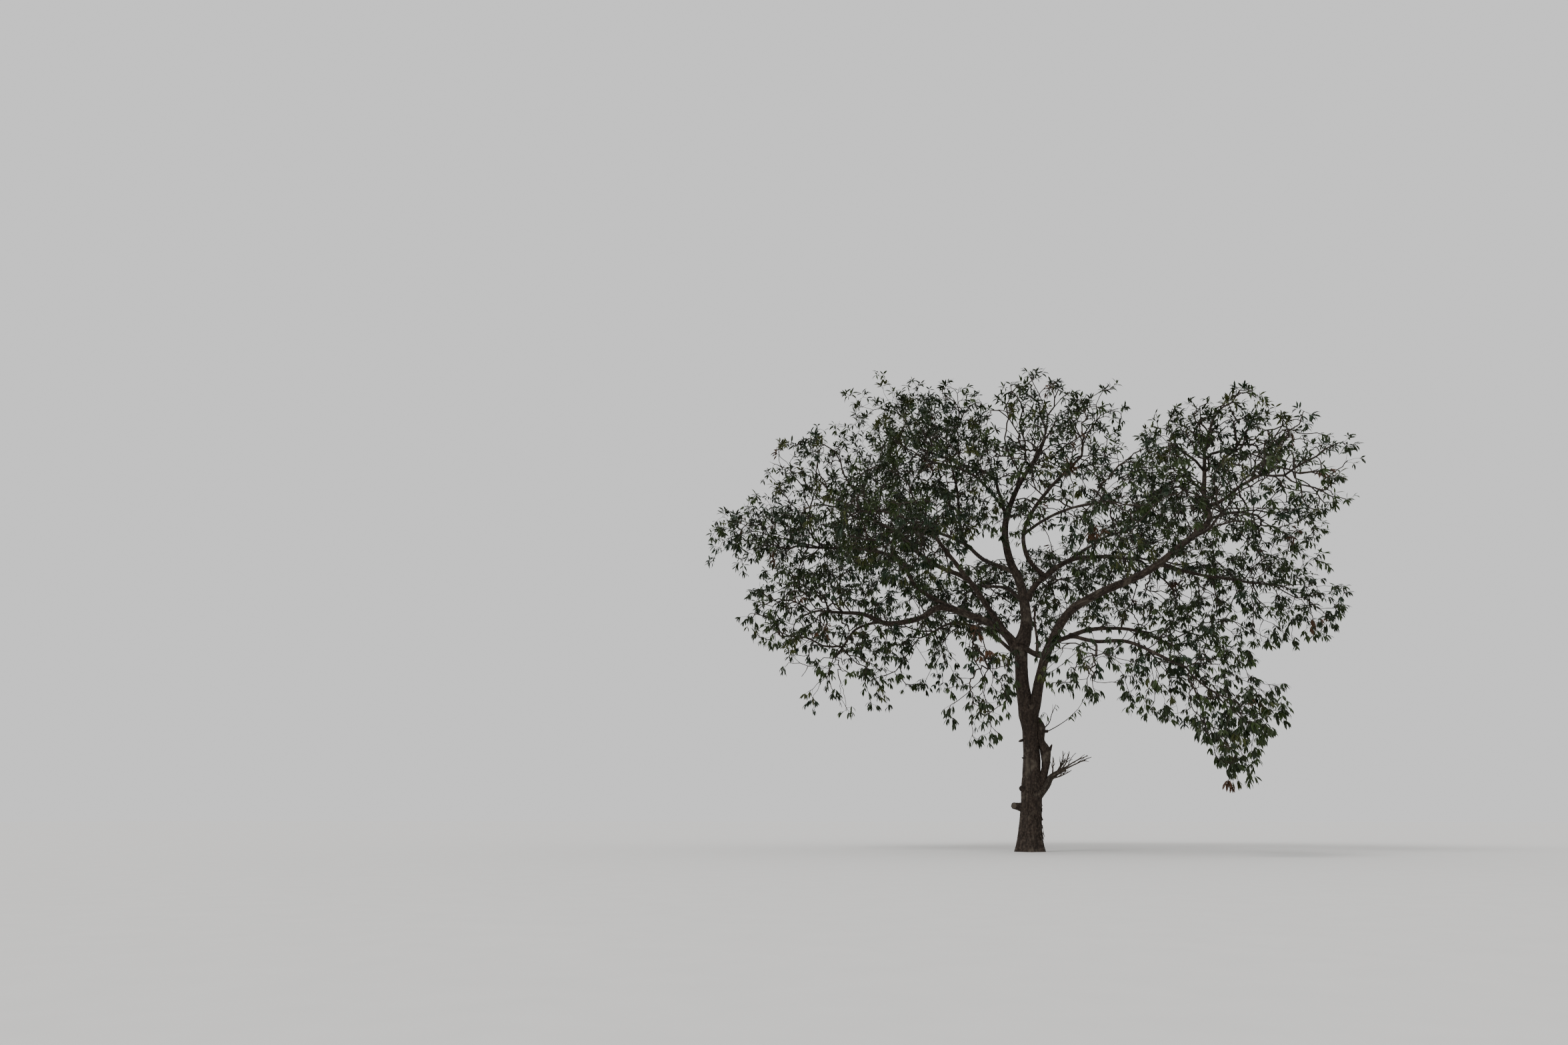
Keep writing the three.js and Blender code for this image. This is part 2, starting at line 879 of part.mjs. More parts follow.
// Nodes of the twigs: each has a point, the node it grows from and the way back to the stem's foot
function growTwigs(name, space, watched, random) {
  const { curve } = limbs[name];
  const heading = curve.getTangentAt(1);
  const foot = curve.getPointAt(1).addScaledVector(heading, TOUCH_GAP);
  const crotch = foot.clone().addScaledVector(heading, STEM_LENGTH);
  const nodes = [
    { point: foot, from: -1, way: 0, tips: 0 },
    { point: crotch, from: 0, way: STEM_LENGTH, tips: 0 },
  ];
  const twigs = [];
  const targets = spreadTargets(space, twigCount(space), random);
  targets.sort((a, b) => a.distanceTo(crotch) - b.distanceTo(crotch));
  for (const target of targets) {
    let best = 1;
    let bestCost = Infinity;
    for (let i = 1; i < nodes.length; i += 1) {
      const cost = nodes[i].point.distanceTo(target) + PATH_WEIGHT * nodes[i].way;
      if (cost < bestCost) {
        best = i;
        bestCost = cost;
      }
    }
    const start = nodes[best];
    const length = start.point.distanceTo(target);
    const middle = start.point.clone().lerp(target, 0.5);
    middle.z += length * TWIG_SAG;
    const free =
      segmentIsFree(start.point, middle, space, watched) && segmentIsFree(middle, target, space, watched);
    if (!free) continue;
    nodes.push({ point: middle, from: best, way: start.way + length / 2, tips: 0 });
    nodes.push({ point: target, from: nodes.length - 1, way: start.way + length, tips: 0 });
    twigs.push([best, nodes.length - 2, nodes.length - 1]);
  }
  for (const twig of twigs) {
    for (let i = twig[2]; i >= 0; i = nodes[i].from) nodes[i].tips += 1;
  }
  twigs[0].unshift(0);
  return { nodes, twigs };
}

function twigRadius(node) {
  return TWIG_TIP * Math.sqrt(Math.max(1, node.tips));
}

// Leaves: thin blades, widest at a share of their length, with their roots sunk in a twig

// The corners of a blade: root, both sides at its widest place, and tip
function bladeCorners(root, direction, roll, length) {
  const turn = new THREE.Quaternion().setFromUnitVectors(new THREE.Vector3(0, 0, 1), direction);
  const across = new THREE.Vector3(Math.cos(roll), Math.sin(roll), 0).applyQuaternion(turn);
  const widest = root.clone().addScaledVector(direction, length * LEAF_WIDEST);
  const half = (length * LEAF_WIDTH) / 2;
  return {
    root,
    left: widest.clone().addScaledVector(across, -half),
    right: widest.clone().addScaledVector(across, half),
    tip: root.clone().addScaledVector(direction, length),
    across,
    direction,
    length,
  };
}

// A leaf on the side of a twig, with eight faces
function sideLeaf(blade) {
  const leaf = new THREE.OctahedronGeometry(1, 0);
  leaf.deleteAttribute("normal");
  leaf.deleteAttribute("uv");
  const geometry = mergeVertices(leaf, MERGE);
  const position = geometry.getAttribute("position");
  const halfThickness = (blade.length * LEAF_THICKNESS) / 2;
  const thick = blade.direction.clone().cross(blade.across).multiplyScalar(halfThickness);
  const widest = blade.left.clone().lerp(blade.right, 0.5);
  for (let i = 0; i < position.count; i += 1) {
    const [x, y, z] = new THREE.Vector3().fromBufferAttribute(position, i).toArray().map(Math.round);
    let corner = widest.clone().addScaledVector(thick, y);
    if (x !== 0) corner = x > 0 ? blade.right : blade.left;
    if (z !== 0) corner = z > 0 ? blade.tip : blade.root;
    position.setXYZ(i, corner.x, corner.y, corner.z);
  }
  return toSolid(geometry);
}

// A twig with three sides through its points; where it ends in a leaf, it spreads into a keeled blade
function twigTube(points, radii, blade) {
  const spine = spineThrough(points);
  if (blade) {
    const up = blade.direction.clone().cross(blade.across).normalize();
    const point = blade.left.clone().lerp(blade.right, 0.5);
    spine.push({ point, across: blade.across, up }, { point: blade.tip, across: blade.across, up });
  }
  const turn = blade ? nearestTurn(spine.at(-3), blade.across) : 0;
  const half = blade ? (blade.length * LEAF_WIDTH) / 2 / Math.sin(Math.PI / TWIG_SIDES) : 0;
  const keel = blade ? blade.length * LEAF_THICKNESS * KEEL_SHARE : 0;
  const cornerAt = (ring, angle) => {
    if (ring === points.length) return [half * Math.cos(angle), keel * Math.sin(angle)];
    const radius = ring < points.length ? radii[ring] : LEAF_POINT;
    const turned = ring < points.length ? angle + turn : angle;
    return [radius * Math.cos(turned), radius * Math.sin(turned)];
  };
  return toSolid(tube(spine, cornerAt, TWIG_SIDES));
}

// The angle, in the frame of a place on a spine, at which a direction lies
function nearestTurn(place, direction) {
  return Math.atan2(direction.dot(place.up), direction.dot(place.across));
}

// Points all over a blade, in rows from both its ends to its widest place
function bladeFace(blade) {
  const face = [];
  for (const end of [blade.root, blade.tip]) {
    for (let i = 1; i <= LEAF_CHECKS; i += 1) {
      const left = end.clone().lerp(blade.left, i / LEAF_CHECKS);
      const right = end.clone().lerp(blade.right, i / LEAF_CHECKS);
      for (let j = 0; j <= i; j += 1) face.push(left.clone().lerp(right, j / i));
    }
  }
  return face;
}

// The blade's corners are in the space, and its face is clear of the limbs and the gaps
function bladeIsFree(blade, { space, watched }) {
  const corners = [blade.root, blade.left, blade.right, blade.tip];
  if (!corners.every((corner) => inSpace(space, corner))) return false;
  const middle = blade.root.clone().lerp(blade.tip, 0.5);
  const far = blade.length / 2 + LIMB_CLEARANCE;
  const near = watched.filter((watch) => watch.point.distanceTo(middle) < far + watch.radius);
  return bladeFace(blade).every((point) => clearOfLimbs(near, point) && !inGap(point));
}

// A blade that fits in the space and crosses none of the other pieces, or null
function placeBlade(root, along, place, others, random) {
  const { space } = place;
  const outward = root.clone().sub(space.middle).divide(space.reach).multiplyScalar(LEAF_OUTWARD);
  for (const size of LEAF_SIZES) {
    for (let i = 0; i < LEAF_TRIES; i += 1) {
      const stray = new THREE.Vector3(random() - 0.5, random() - 0.5, random() - 0.5);
      const direction = along.clone().add(outward).addScaledVector(stray, 2 * LEAF_STRAY).normalize();
      const blade = bladeCorners(root, direction, random() * Math.PI, LEAF_LENGTH * size);
      if (!bladeIsFree(blade, place)) continue;
      const leaf = sideLeaf(blade);
      if (others.every((other) => leaf.intersect(other).isEmpty())) return blade;
    }
  }
  return null;
}

// The twigs of a mass, each with its leaves, joined into one solid. A piece knows the nodes it touches.
function foliage(name, seed) {
  const space = spaces[name];
  const random = seeded(seed);
  const place = { space, watched: nearbyWatchPoints(space) };
  const { nodes, twigs } = growTwigs(name, space, place.watched, random);
  const stemRadius = BOUGHS[name].girth[1] * STEM_SHARE;
  const radiiOf = (twig) => {
    const radii = twig.map((i) => Math.min(twigRadius(nodes[i]), stemRadius));
    radii[0] = twig[0] === 0 ? stemRadius : radii[1];
    return radii;
  };
  const pieces = twigs.map((twig) => {
    const points = twig.map((i) => nodes[i].point);
    return { touches: twig, points, solid: twigTube(points, radiiOf(twig), null) };
  });
  for (const piece of [...pieces]) {
    const { touches, points } = piece;
    const along = points.at(-1).clone().sub(points.at(-2)).normalize();
    const bladeAt = (back) => {
      const strangers = pieces.filter((other) => !other.touches.includes(touches.at(back)));
      return placeBlade(points.at(back), along, place, strangers.map((other) => other.solid), random);
    };
    const end = bladeAt(-1);
    if (end) piece.solid = twigTube(points, radiiOf(touches), end);
    const side = bladeAt(-2);
    if (side) pieces.push({ touches: [touches.at(-2)], solid: sideLeaf(side) });
  }
  return pieces.map((piece) => piece.solid).reduce((whole, solid) => whole.add(solid));
}

Object.keys(spaces).forEach((name, index) => {
  addNode(`leaves_${name}`, foliage(name, FIRST_SEED + index), LEAF);
});

export default tree;
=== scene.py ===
"""A lone broad-leaved field tree in full leaf. Metres, +Z up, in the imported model's frame.

The trunk and boughs get bark with real relief. Each mass of foliage is grown again by the source's rule,
and then carried on to fine twigs that end in whorls of leaves at about life size.
"""

import itertools
import math
from collections import namedtuple

import bpy
import numpy as np
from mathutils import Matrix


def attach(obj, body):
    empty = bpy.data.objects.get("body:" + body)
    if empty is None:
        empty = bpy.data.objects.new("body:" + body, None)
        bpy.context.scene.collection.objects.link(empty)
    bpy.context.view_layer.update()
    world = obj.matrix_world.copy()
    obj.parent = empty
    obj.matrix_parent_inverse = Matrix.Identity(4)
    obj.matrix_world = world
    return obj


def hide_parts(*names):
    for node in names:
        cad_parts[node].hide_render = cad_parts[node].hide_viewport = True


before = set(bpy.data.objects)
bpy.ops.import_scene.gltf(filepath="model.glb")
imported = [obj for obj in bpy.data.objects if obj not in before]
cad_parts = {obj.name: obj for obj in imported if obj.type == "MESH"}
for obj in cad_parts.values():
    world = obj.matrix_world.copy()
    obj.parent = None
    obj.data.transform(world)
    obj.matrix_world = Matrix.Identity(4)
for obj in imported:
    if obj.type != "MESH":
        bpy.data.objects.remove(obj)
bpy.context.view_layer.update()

# Trunk: the axis that leans and sways, and the radius at heights above the ground
TRUNK_AXIS = [
    (0, 0, 0), (0.03, 0, 0.48), (0.095, 0, 1.19),
    (0.13, 0, 1.76), (0.14, 0, 2.28), (0.1, 0.005, 2.75),
    (0.045, 0.015, 3.15), (0.04, 0.05, 3.64), (0.06, 0.1, 4.06),
]
TRUNK_GIRTH = [
    (0, 0.232), (0.48, 0.218), (1.15, 0.202), (1.45, 0.184), (1.9, 0.164),
    (2.3, 0.166), (2.65, 0.186), (3, 0.146), (3.5, 0.134), (4.06, 0.138),
]
FLARE_REACH = 0.34  # how much wider the foot is than the trunk, as a share
FLARE_HEIGHT = 0.23  # over which the flare fades by about two thirds
FLARE_LOBES = 5  # root buttresses
LOBE_DEPTH = 0.3  # share of the flare that comes and goes from lobe to lobe
TAPER_POWER = 0.8  # under 1 keeps a limb thick for longer

# Boughs: what carries each and how far along that it leaves, its radius at both ends, the middle and the half
# sizes of the ellipsoid that the foliage at its tip keeps to, how many main twigs and how many finer twigs
# that holds for its size, and the points that the bough passes
Bough = namedtuple("Bough", "carrier at girth middle reach fullness leafiness through")
BOUGHS = {
    "right": Bough(
        "trunk", 0.6, (0.106, 0.038), (4.58, -0.1, 8), (1.41, 1.95, 1.29), 1, 0.95,
        [(0.24, -0.05, 2.81), (0.33, -0.09, 3.2), (0.56, -0.1, 3.88), (1.05, -0.12, 4.68),
         (1.56, -0.2, 4.98), (2.6, -0.4, 5.4), (3.55, -0.5, 6.06), (3.9, -0.4, 6.4), (3.89, -0.25, 6.9),
         (3.98, -0.1, 7.6)],
    ),
    "top_middle": Bough(
        "trunk", 1, (0.122, 0.034), (0.68, 0, 8.82), (1.18, 1.85, 1.19), 0.8, 0.85,
        [(0.19, 0.2, 4.5), (0.2, 0.3, 5.08), (0.1, 0.4, 5.57), (-0.06, 0.4, 5.98), (-0.12, 0.4, 6.7),
         (0.14, 0.3, 7.44), (0.56, 0.1, 8.08)],
    ),
    "left": Bough(
        "trunk", 0.97, (0.094, 0.034), (-4.36, -0.3, 4.84), (1.52, 1.85, 1), 0.95, 0.85,
        [(-0.35, 0.1, 4.45), (-0.88, 0, 4.71), (-1.56, -0.1, 4.9), (-1.98, -0.2, 4.68),
         (-2.68, -0.2, 4.59), (-3.18, -0.2, 4.81), (-3.65, -0.25, 4.86)],
    ),
    "front_left": Bough(
        "left", 0.06, (0.066, 0.033), (-2.25, -3.05, 6.12), (1.34, 2, 1.2), 1.05, 1,
        [(-0.52, -0.4, 4.76), (-0.81, -0.9, 5.16), (-1.26, -1.9, 5.66), (-1.51, -2.6, 5.94)],
    ),
    "outer_left": Bough(
        "front_left", 0.52, (0.05, 0.029), (-3.84, -0.9, 7.43), (1.35, 1.95, 1.44), 1.05, 0.9,
        [(-1.57, -1.3, 5.59), (-1.97, -1.2, 5.92), (-2.25, -1.1, 6.27), (-2.94, -1, 6.74)],
    ),
    "far_left": Bough(
        "left", 0.4, (0.046, 0.027), (-5.16, 0.35, 6.5), (1.74, 1.9, 1.33), 1, 1.2,
        [(-2.04, -0.05, 5.4), (-2.38, 0, 6), (-3.13, 0.2, 6.34), (-4.25, 0.4, 6.49)],
    ),
    "hanging_left": Bough(
        "left", 0.8, (0.03, 0.021), (-3.62, -0.8, 3.52), (1.26, 1.6, 1.11), 0.85, 0.6,
        [(-3.33, -0.3, 4.48), (-3.6, -0.5, 4.05)],
    ),
    "hanging_front": Bough(
        "left", 0.16, (0.032, 0.021), (-0.79, -2.7, 2.78), (0.72, 1.5, 1.04), 0.8, 0.8,
        [(-0.72, -1.1, 4.35), (-0.81, -2.05, 3.9)],
    ),
    "back_low_left": Bough(
        "trunk", 0.93, (0.042, 0.024), (-2.72, 2.75, 4.33), (1.22, 1.75, 1.45), 0.9, 0.6,
        [(-0.51, 0.8, 4.43), (-0.92, 1.5, 4.76), (-1.51, 2.15, 4.96), (-1.95, 2.6, 4.85)],
    ),
    "middle_left": Bough(
        "top_middle", 0.22, (0.044, 0.026), (-1.3, 3.15, 5.83), (1.45, 1.85, 1.16), 1, 0.95,
        [(-0.15, 0.9, 5.45), (-0.62, 1.7, 5.7), (-0.95, 2.4, 5.85)],
    ),
    "back_left": Bough(
        "top_middle", 0.4, (0.054, 0.029), (-3.13, 3.4, 7.56), (1.86, 2.05, 1.63), 1.1, 0.52,
        [(-0.57, 1.2, 6.17), (-1.1, 2, 6.82), (-1.67, 2.6, 7.25), (-2.25, 3.05, 7.5)],
    ),
    "upper_left": Bough(
        "back_left", 0.55, (0.035, 0.024), (-1.2, 0.2, 8.75), (1.13, 1.7, 1.28), 1, 1.15,
        [(-1.13, 1.15, 7.2), (-1.12, 0.75, 7.7), (-1.2, 0.5, 8.15)],
    ),
    "top_left": Bough(
        "top_middle", 0.68, (0.038, 0.024), (-2.53, 0.1, 8.92), (1.42, 1.85, 1.43), 1, 0.85,
        [(-0.21, 0.6, 7.56), (-0.33, 0.85, 8.05), (-0.9, 0.9, 8.35), (-1.62, 0.65, 8.62)],
    ),
    "front_top_left": Bough(
        "top_middle", 0.7, (0.032, 0.022), (-1.55, -2.6, 7.22), (1.27, 1.85, 1.16), 1.05, 0.7,
        [(-0.51, -0.6, 7.43), (-0.88, -1.4, 7.49), (-1.43, -2, 7.5)],
    ),
    "back_right_low": Bough(
        "top_middle", 0.24, (0.064, 0.029), (3.45, 2.75, 6.01), (1.45, 1.9, 1.2), 1.05, 0.8,
        [(0.54, 0.4, 5.49), (1.15, 0.9, 6), (1.76, 1.6, 6.25), (2.6, 2.25, 6.3)],
    ),
    "back_right": Bough(
        "back_right_low", 0.42, (0.036, 0.024), (3.31, 3.7, 7.49), (1.57, 1.9, 1.49), 1.1, 0.48,
        [(1.64, 1.85, 6.5), (2.18, 2.8, 7), (2.65, 3.35, 7.25)],
    ),
    "back_middle": Bough(
        "back_right_low", 0.16, (0.034, 0.024), (1.34, 3.55, 5.87), (1.49, 1.9, 1.19), 1, 0.9,
        [(0.8, 1.7, 5.85), (0.98, 2.85, 6.03)],
    ),
    "top_right": Bough(
        "back_right_low", 0.2, (0.052, 0.028), (1.7, -0.7, 8.19), (0.92, 1.9, 1.46), 0.85, 0.8,
        [(0.33, 0.3, 5.97), (0.25, 0.18, 6.46), (0.49, -0.08, 6.93), (0.81, -0.35, 7.26),
         (1.35, -0.65, 7.7)],
    ),
    "front_top_right": Bough(
        "top_right", 0.36, (0.034, 0.024), (2.29, -3.15, 6.11), (1.16, 1.95, 1.08), 1.05, 0.7,
        [(0.59, -0.6, 6.5), (1.08, -1.8, 6.4), (1.56, -2.65, 6.25)],
    ),
    "front_top": Bough(
        "top_middle", 0.84, (0.031, 0.022), (0.28, -2.7, 7.38), (1.19, 1.9, 1.06), 0.8, 0.65,
        [(0.27, -0.9, 7.56), (0.35, -1.85, 7.42)],
    ),
    "right_tip": Bough(
        "right", 0.87, (0.037, 0.025), (5.31, -1.2, 7.09), (1.26, 1.9, 1.2), 0.85, 1,
        [(4.2, -0.45, 6.8), (4.5, -0.8, 6.97), (4.8, -1.15, 7.05)],
    ),
    "right_back": Bough(
        "right", 0.83, (0.034, 0.024), (5.43, 1.65, 6.51), (1.21, 1.85, 1.17), 0.8, 0.5,
        [(4.35, 0.2, 6.68), (4.78, 0.7, 6.82), (5.05, 1.05, 6.86)],
    ),
    "front_right": Bough(
        "right", 0.74, (0.034, 0.024), (3.79, -2.7, 6.25), (1.08, 1.8, 1.06), 0.95, 0.38,
        [(3.68, -1.35, 5.96), (3.77, -2.05, 6.02)],
    ),
    "middle_right": Bough(
        "right", 0.92, (0.034, 0.024), (3.6, 1, 8.03), (0.98, 1.7, 1.3), 0.9, 1,
        [(3.8, 0.15, 7.35), (3.74, 0.45, 7.62)],
    ),
    "low_right": Bough(
        "right", 0.63, (0.039, 0.026), (5.18, 0.45, 4.94), (1.43, 1.95, 1.16), 0.8, 0.75,
        [(3.65, -0.15, 5.35), (4.5, 0.15, 5.23)],
    ),
    "back_low_right": Bough(
        "right", 0.245, (0.052, 0.027), (3.77, 2.3, 4.33), (1.34, 1.85, 0.89), 0.9, 0.5,
        [(1.23, 0.4, 4.34), (1.67, 0.9, 4.51), (2.27, 1.35, 4.56), (2.71, 1.75, 4.51),
         (3.15, 2.05, 4.35)],
    ),
    "drooping_right": Bough(
        "back_low_right", 0.17, (0.044, 0.026), (3.5, -2.1, 2.44), (1.13, 1.7, 1.49), 1, 1.5,
        [(1.5, -0.45, 4.02), (2.05, -1.2, 3.87), (2.78, -1.9, 3.35)],
    ),
    "hanging_right": Bough(
        "drooping_right", 0.28, (0.03, 0.02), (1.28, -2.65, 3.11), (0.92, 1.55, 0.71), 0.8, 0.6,
        [(1.45, -1.4, 3.78), (1.38, -2.2, 3.52)],
    ),
}

# Sky that shows through the crown, as ellipses seen from the camera: how far across and up their middles
# are, and their half widths and half heights, on the upright plane through the trunk's foot
GAPS = {
    "beside_fork_left": (-0.5, 6.72, 0.36, 0.51),
    "beside_fork_right": (0.91, 6.56, 0.65, 0.35),
    "over_fork": (1.11, 7.46, 0.22, 0.13),
    "under_fork": (0.93, 5.88, 0.19, 0.2),
    "right_of_fork": (1.88, 6.57, 0.2, 0.2),
    "low_left": (-4, 5, 0.67, 0.21),
    "low_middle": (-2.24, 4.91, 0.62, 0.14),
    "beside_trunk": (-1.02, 4.16, 0.63, 0.24),
    "lowest_left": (-4.04, 4.13, 0.41, 0.23),
    "low_right": (3.98, 5.07, 0.37, 0.16),
    "over_droop": (4.96, 3.45, 0.5, 0.26),
    "notch_right": (6.01, 7.2, 0.2, 0.14),
    "under_droop": (2.31, 1.33, 1.36, 1.2),
    "beside_droop": (5.16, 1.63, 0.83, 0.75),
}
# The gaps in the crown's edge, which stay empty, and the share of the finer twigs that grow in the others
NOTCHES = [GAPS[name] for name in ("notch_right", "over_droop", "under_droop", "beside_droop")]
GAP_SHARE = 0.36
# Where the crown is thinner: ellipses like the gaps, each with the share of the finer twigs that grow there
THIN_PLACES = [
    (-1.86, 3.5, 1.3, 0.5, 0.45), (3.05, 3.95, 0.65, 0.95, 0.5),
    (0.9, 8.3, 1.4, 0.7, 0.45), (5.1, 7.1, 1, 0.7, 0.4),
    (3.3, 3.7, 0.5, 0.7, 0.4), (3.9, 7.5, 0.9, 0.55, 0.6),
    (-5, 5.7, 0.9, 0.5, 0.65), (3.1, 5, 0.8, 0.5, 0.65),
]
# Where no space is left open between the layers of foliage: ellipses like the gaps
FULL_PLACES = [
    (4, 8.95, 1.5, 0.75), (-5.4, 6.95, 1.3, 0.5), (-1.5, 9.2, 1.1, 0.6), (4.2, 2.4, 0.8, 1),
    (4.1, 6.3, 0.8, 0.4), (6.15, 6.85, 0.5, 0.35), (5.9, 4.6, 0.7, 0.5), (-3.7, 5, 1, 0.6),
]

# Main twigs, by the source's rule: how many there are in a space whose half sizes are a metre each way, the
# random places tried for the end of each, of which the one farthest from the other ends is taken, how far out
# they go as a share of the space, the nodes along each, and how much a long way round counts against a place
# for it to start
MAIN_TWIGS = {"density": 3.9, "tries": 14, "reach": 0.76, "steps": 8, "path_weight": 0.35}
# Finer twigs, which the masses are carried on to, in the same terms but with their number a cubic metre
FINER_TWIGS = [
    {"density": 3.6, "tries": 8, "reach": 0.88, "steps": 6, "path_weight": 0.7},
    {"density": 13.6, "tries": 5, "reach": 0.97, "steps": 4, "path_weight": 0.35},
]
FIRST_SEED = 501  # the next masses have the numbers after it
STEM_LENGTH = 0.23  # up to the first fork
TWIG_SAG = 0.1  # bow of a twig as a share of its length
TWIG_LEAD = 0.16  # how far a twig goes on the way of what it grows from, as a share of its length
TWIG_WANDER = 0.05  # how far a twig strays from its line, as a share of its length
LOWEST_TWIG = 1.25
MOST_NODES = 12000  # in one mass
SPACE_MARGIN = 0.012  # from a leaf or twig to the edge of its mass's space
LIMB_CLEARANCE = 0.022  # from a leaf or twig to any limb
WATCH_STEP = 0.045  # between the places along the limbs where that is tested
WATCH_MARGIN = 1.15  # past a mass's space, for the limbs that its twigs are tested against
TESTED_AT_ONCE = 2000
LIMB_JOINTS = 4  # one in so many of the places along a limb may bear finer twigs
LIMB_JOINTS_REACH = 1.15  # of the space, for the limbs that bear them
LOWEST_JOINT = 3.6  # no finer twig grows from a limb under this height
PIPE_POWER = 0.36  # thickness of a twig follows this power of the twig ends that it carries
THINNEST_TWIG = 0.0045
THIN_TWIG = 0.0075  # radius under which a twig has fewer sides
MAIN_SIDES = 6
TWIG_SIDES = 3
SPRAY_SHOOTS = (3, 6)  # short leafy shoots on the end of each finer twig
SHOOT_LENGTH = (0.07, 0.24)
SHOOT_SPREAD = 1.1  # how far a shoot turns aside, against 1 for straight on
SHOOT_BOW = 0.12  # share of its length
SHOOT_RADIUS = (0.0042, 0.0028)
BARE_SHOOTS = 0.05  # share that bear no leaves

# The crown as a whole
HEART = (0.1, 0, 5.2)  # its middle, towards which the finer twigs also fill it
INWARD_STRETCH = 2.2  # how much further a mass reaches that way
VOLUME_TRIES = 20000  # random places that measure how much of a space is filled
RAGGED_SPACING = 0.9  # metres between the bays of a mass's edge
RAGGED_DEPTH = 0.16  # how deep they are, as a share of the mass's size
RAGGED_SEED = 61
LAYER_SPACING = (1.5, 1.5, 0.5)  # metres between the layers that foliage lies in
LAYER_LEVEL = -0.2  # noise under this is left open between them
LAYER_SEED = 62
STRAND_SPACING = (0.5, 0.5, 2.4)  # metres between the strands that low foliage hangs in
STRAND_HEIGHTS = (3.9, 5)  # strands under the first height, layers over the second
STRAND_SEED = 63

# Leaves
LEAF_LENGTH = 0.142
LEAF_SPREAD = 0.2  # leaves are this much longer or shorter, as a share
LEAF_WIDTH = 0.28  # share of its length
LEAF_SEED = 1000  # more than the seed of the mass
WHORL = (3, 6)  # leaves at the end of a shoot
SIDE_LEAVES = 3  # at most, along a shoot
SIDE_LEAF_TURNS = 10  # golden angles, among which each side leaf takes its turn round the shoot
LEAF_STEP = 0.012  # between the leaves of a whorl, along the shoot
LEAF_TILT = (20, 85)  # degrees between a leaf and its shoot
LEAF_ROLL = 0.7  # radians
LEAF_UNEVENNESS = 0.6  # how far its upper face turns from the sky, against 1 for straight up
LEAF_CURL = (0.4, 1.2)  # the least, and how much is added at most, against 1 for the shape below
LEAF_REACH = 1.05  # of the mass's space, for the leaves' tips
DROOP = (1.25, 0.1)  # pull of gravity on a leaf at the heights that follow
DROOP_HEIGHTS = (3, 8.5)
GOLDEN_ANGLE = math.pi * (3 - math.sqrt(5))
# Corners of a leaf: how far out to the side, along and up, as shares of its width and length
LEAF_SHAPE = [
    (0, 0, 0),
    (-0.44, 0.34, 0.05), (0, 0.36, 0.0), (0.44, 0.34, 0.05),
    (-0.4, 0.68, 0.02), (0, 0.7, -0.035), (0.4, 0.68, 0.02),
    (0, 1, -0.13),
]
LEAF_FACES = [
    (0, 2, 1), (0, 3, 2), (1, 2, 4), (2, 5, 4),
    (2, 3, 5), (3, 6, 5), (4, 5, 7), (5, 6, 7),
]
# Linear base colours, and the share of the sprays that take each
LEAF_TINTS = {
    "leaf_dark": ((0.014, 0.024, 0.006), 0.46),
    "leaf_green": ((0.024, 0.04, 0.008), 0.32),
    "leaf_bluish": ((0.016, 0.03, 0.014), 0.12),
    "leaf_yellow": ((0.042, 0.05, 0.01), 0.07),
    "leaf_brown": ((0.055, 0.026, 0.01), 0.015),
}
# Foliage pieces, by the side of the crown that they fill
REGIONS = {
    "left": ["left", "far_left", "hanging_left", "outer_left"],
    "front_left": ["front_left", "front_top_left", "hanging_front"],
    "back_left": ["back_low_left", "middle_left", "back_left"],
    "top": ["upper_left", "top_left", "top_middle", "front_top", "top_right"],
    "front_right": ["front_top_right", "front_right", "drooping_right", "hanging_right"],
    "back_right": ["back_right_low", "back_right", "back_middle", "back_low_right"],
    "right": ["right", "right_tip", "right_back", "middle_right", "low_right"],
}

# Bark
TRUNK_SIDES = 120
TRUNK_STEP = 0.016  # between rings
TRUNK_SEED = 1
BOUGH_SEED = 101  # the next boughs have the numbers after it
BARK_CELL = 0.014  # about the size of a face
LIMB_SIDES = (12, 44)
RING_STEP = 0.02
FEWEST_RINGS = 6
FURROW_SPACING = 0.045
FURROW_STRETCH = 0.24  # furrows run along a limb
FURROW_DEPTH = 0.055  # share of the limb's radius
FURROW_DEEPEST = 0.009
FURROW_POWER = 5  # narrows the furrows between the ridges
WARP_STRETCH = 0.6  # of the furrows' spacing, for the noise that bends them
WARP_DEPTH = 0.35
WARP_SEED = 11
GRAIN_SPACING = 0.012
GRAIN_DEPTH = 0.22  # share of the furrows' depth
GRAIN_SEED = 5
LUMP_SPACING = 0.3
LUMP_HEIGHT = 0.07  # share of the limb's radius
LUMP_SEED = 7
WANDER_SPACING = 0.5
WANDER_EASE = 0.3  # from both ends, where a limb's wandering fades out
WANDER_SEEDS = (21, 22)
LIMB_WANDER = 0.22  # share of the limb's radius
COLLAR = 0.4  # how much a bough swells where it leaves what carries it
COLLAR_REACH = 1.6  # over this many of its radii
# Linear base colours: dark, middle and light places, and patches of dry lichen
BARK_TINTS = {
    "bark": ((0.015, 0.01, 0.007), (0.038, 0.027, 0.02), (0.072, 0.055, 0.042), (0.11, 0.092, 0.07)),
    "dead_wood": ((0.022, 0.017, 0.013), (0.055, 0.044, 0.034), (0.1, 0.085, 0.068), (0.12, 0.105, 0.086)),
    "twig_bark": ((0.015, 0.011, 0.008), (0.03, 0.022, 0.016), (0.048, 0.038, 0.029), (0.06, 0.05, 0.037)),
}

# Camera: where the photograph was taken from, and the angles that it was held at
CAMERA_PLACE = (0, -22, 0.628)
CAMERA_PITCH = 15.81  # degrees up
CAMERA_HEADING = 12.689  # degrees to the left
CAMERA_LENS = 24
CAMERA_SENSOR = 36

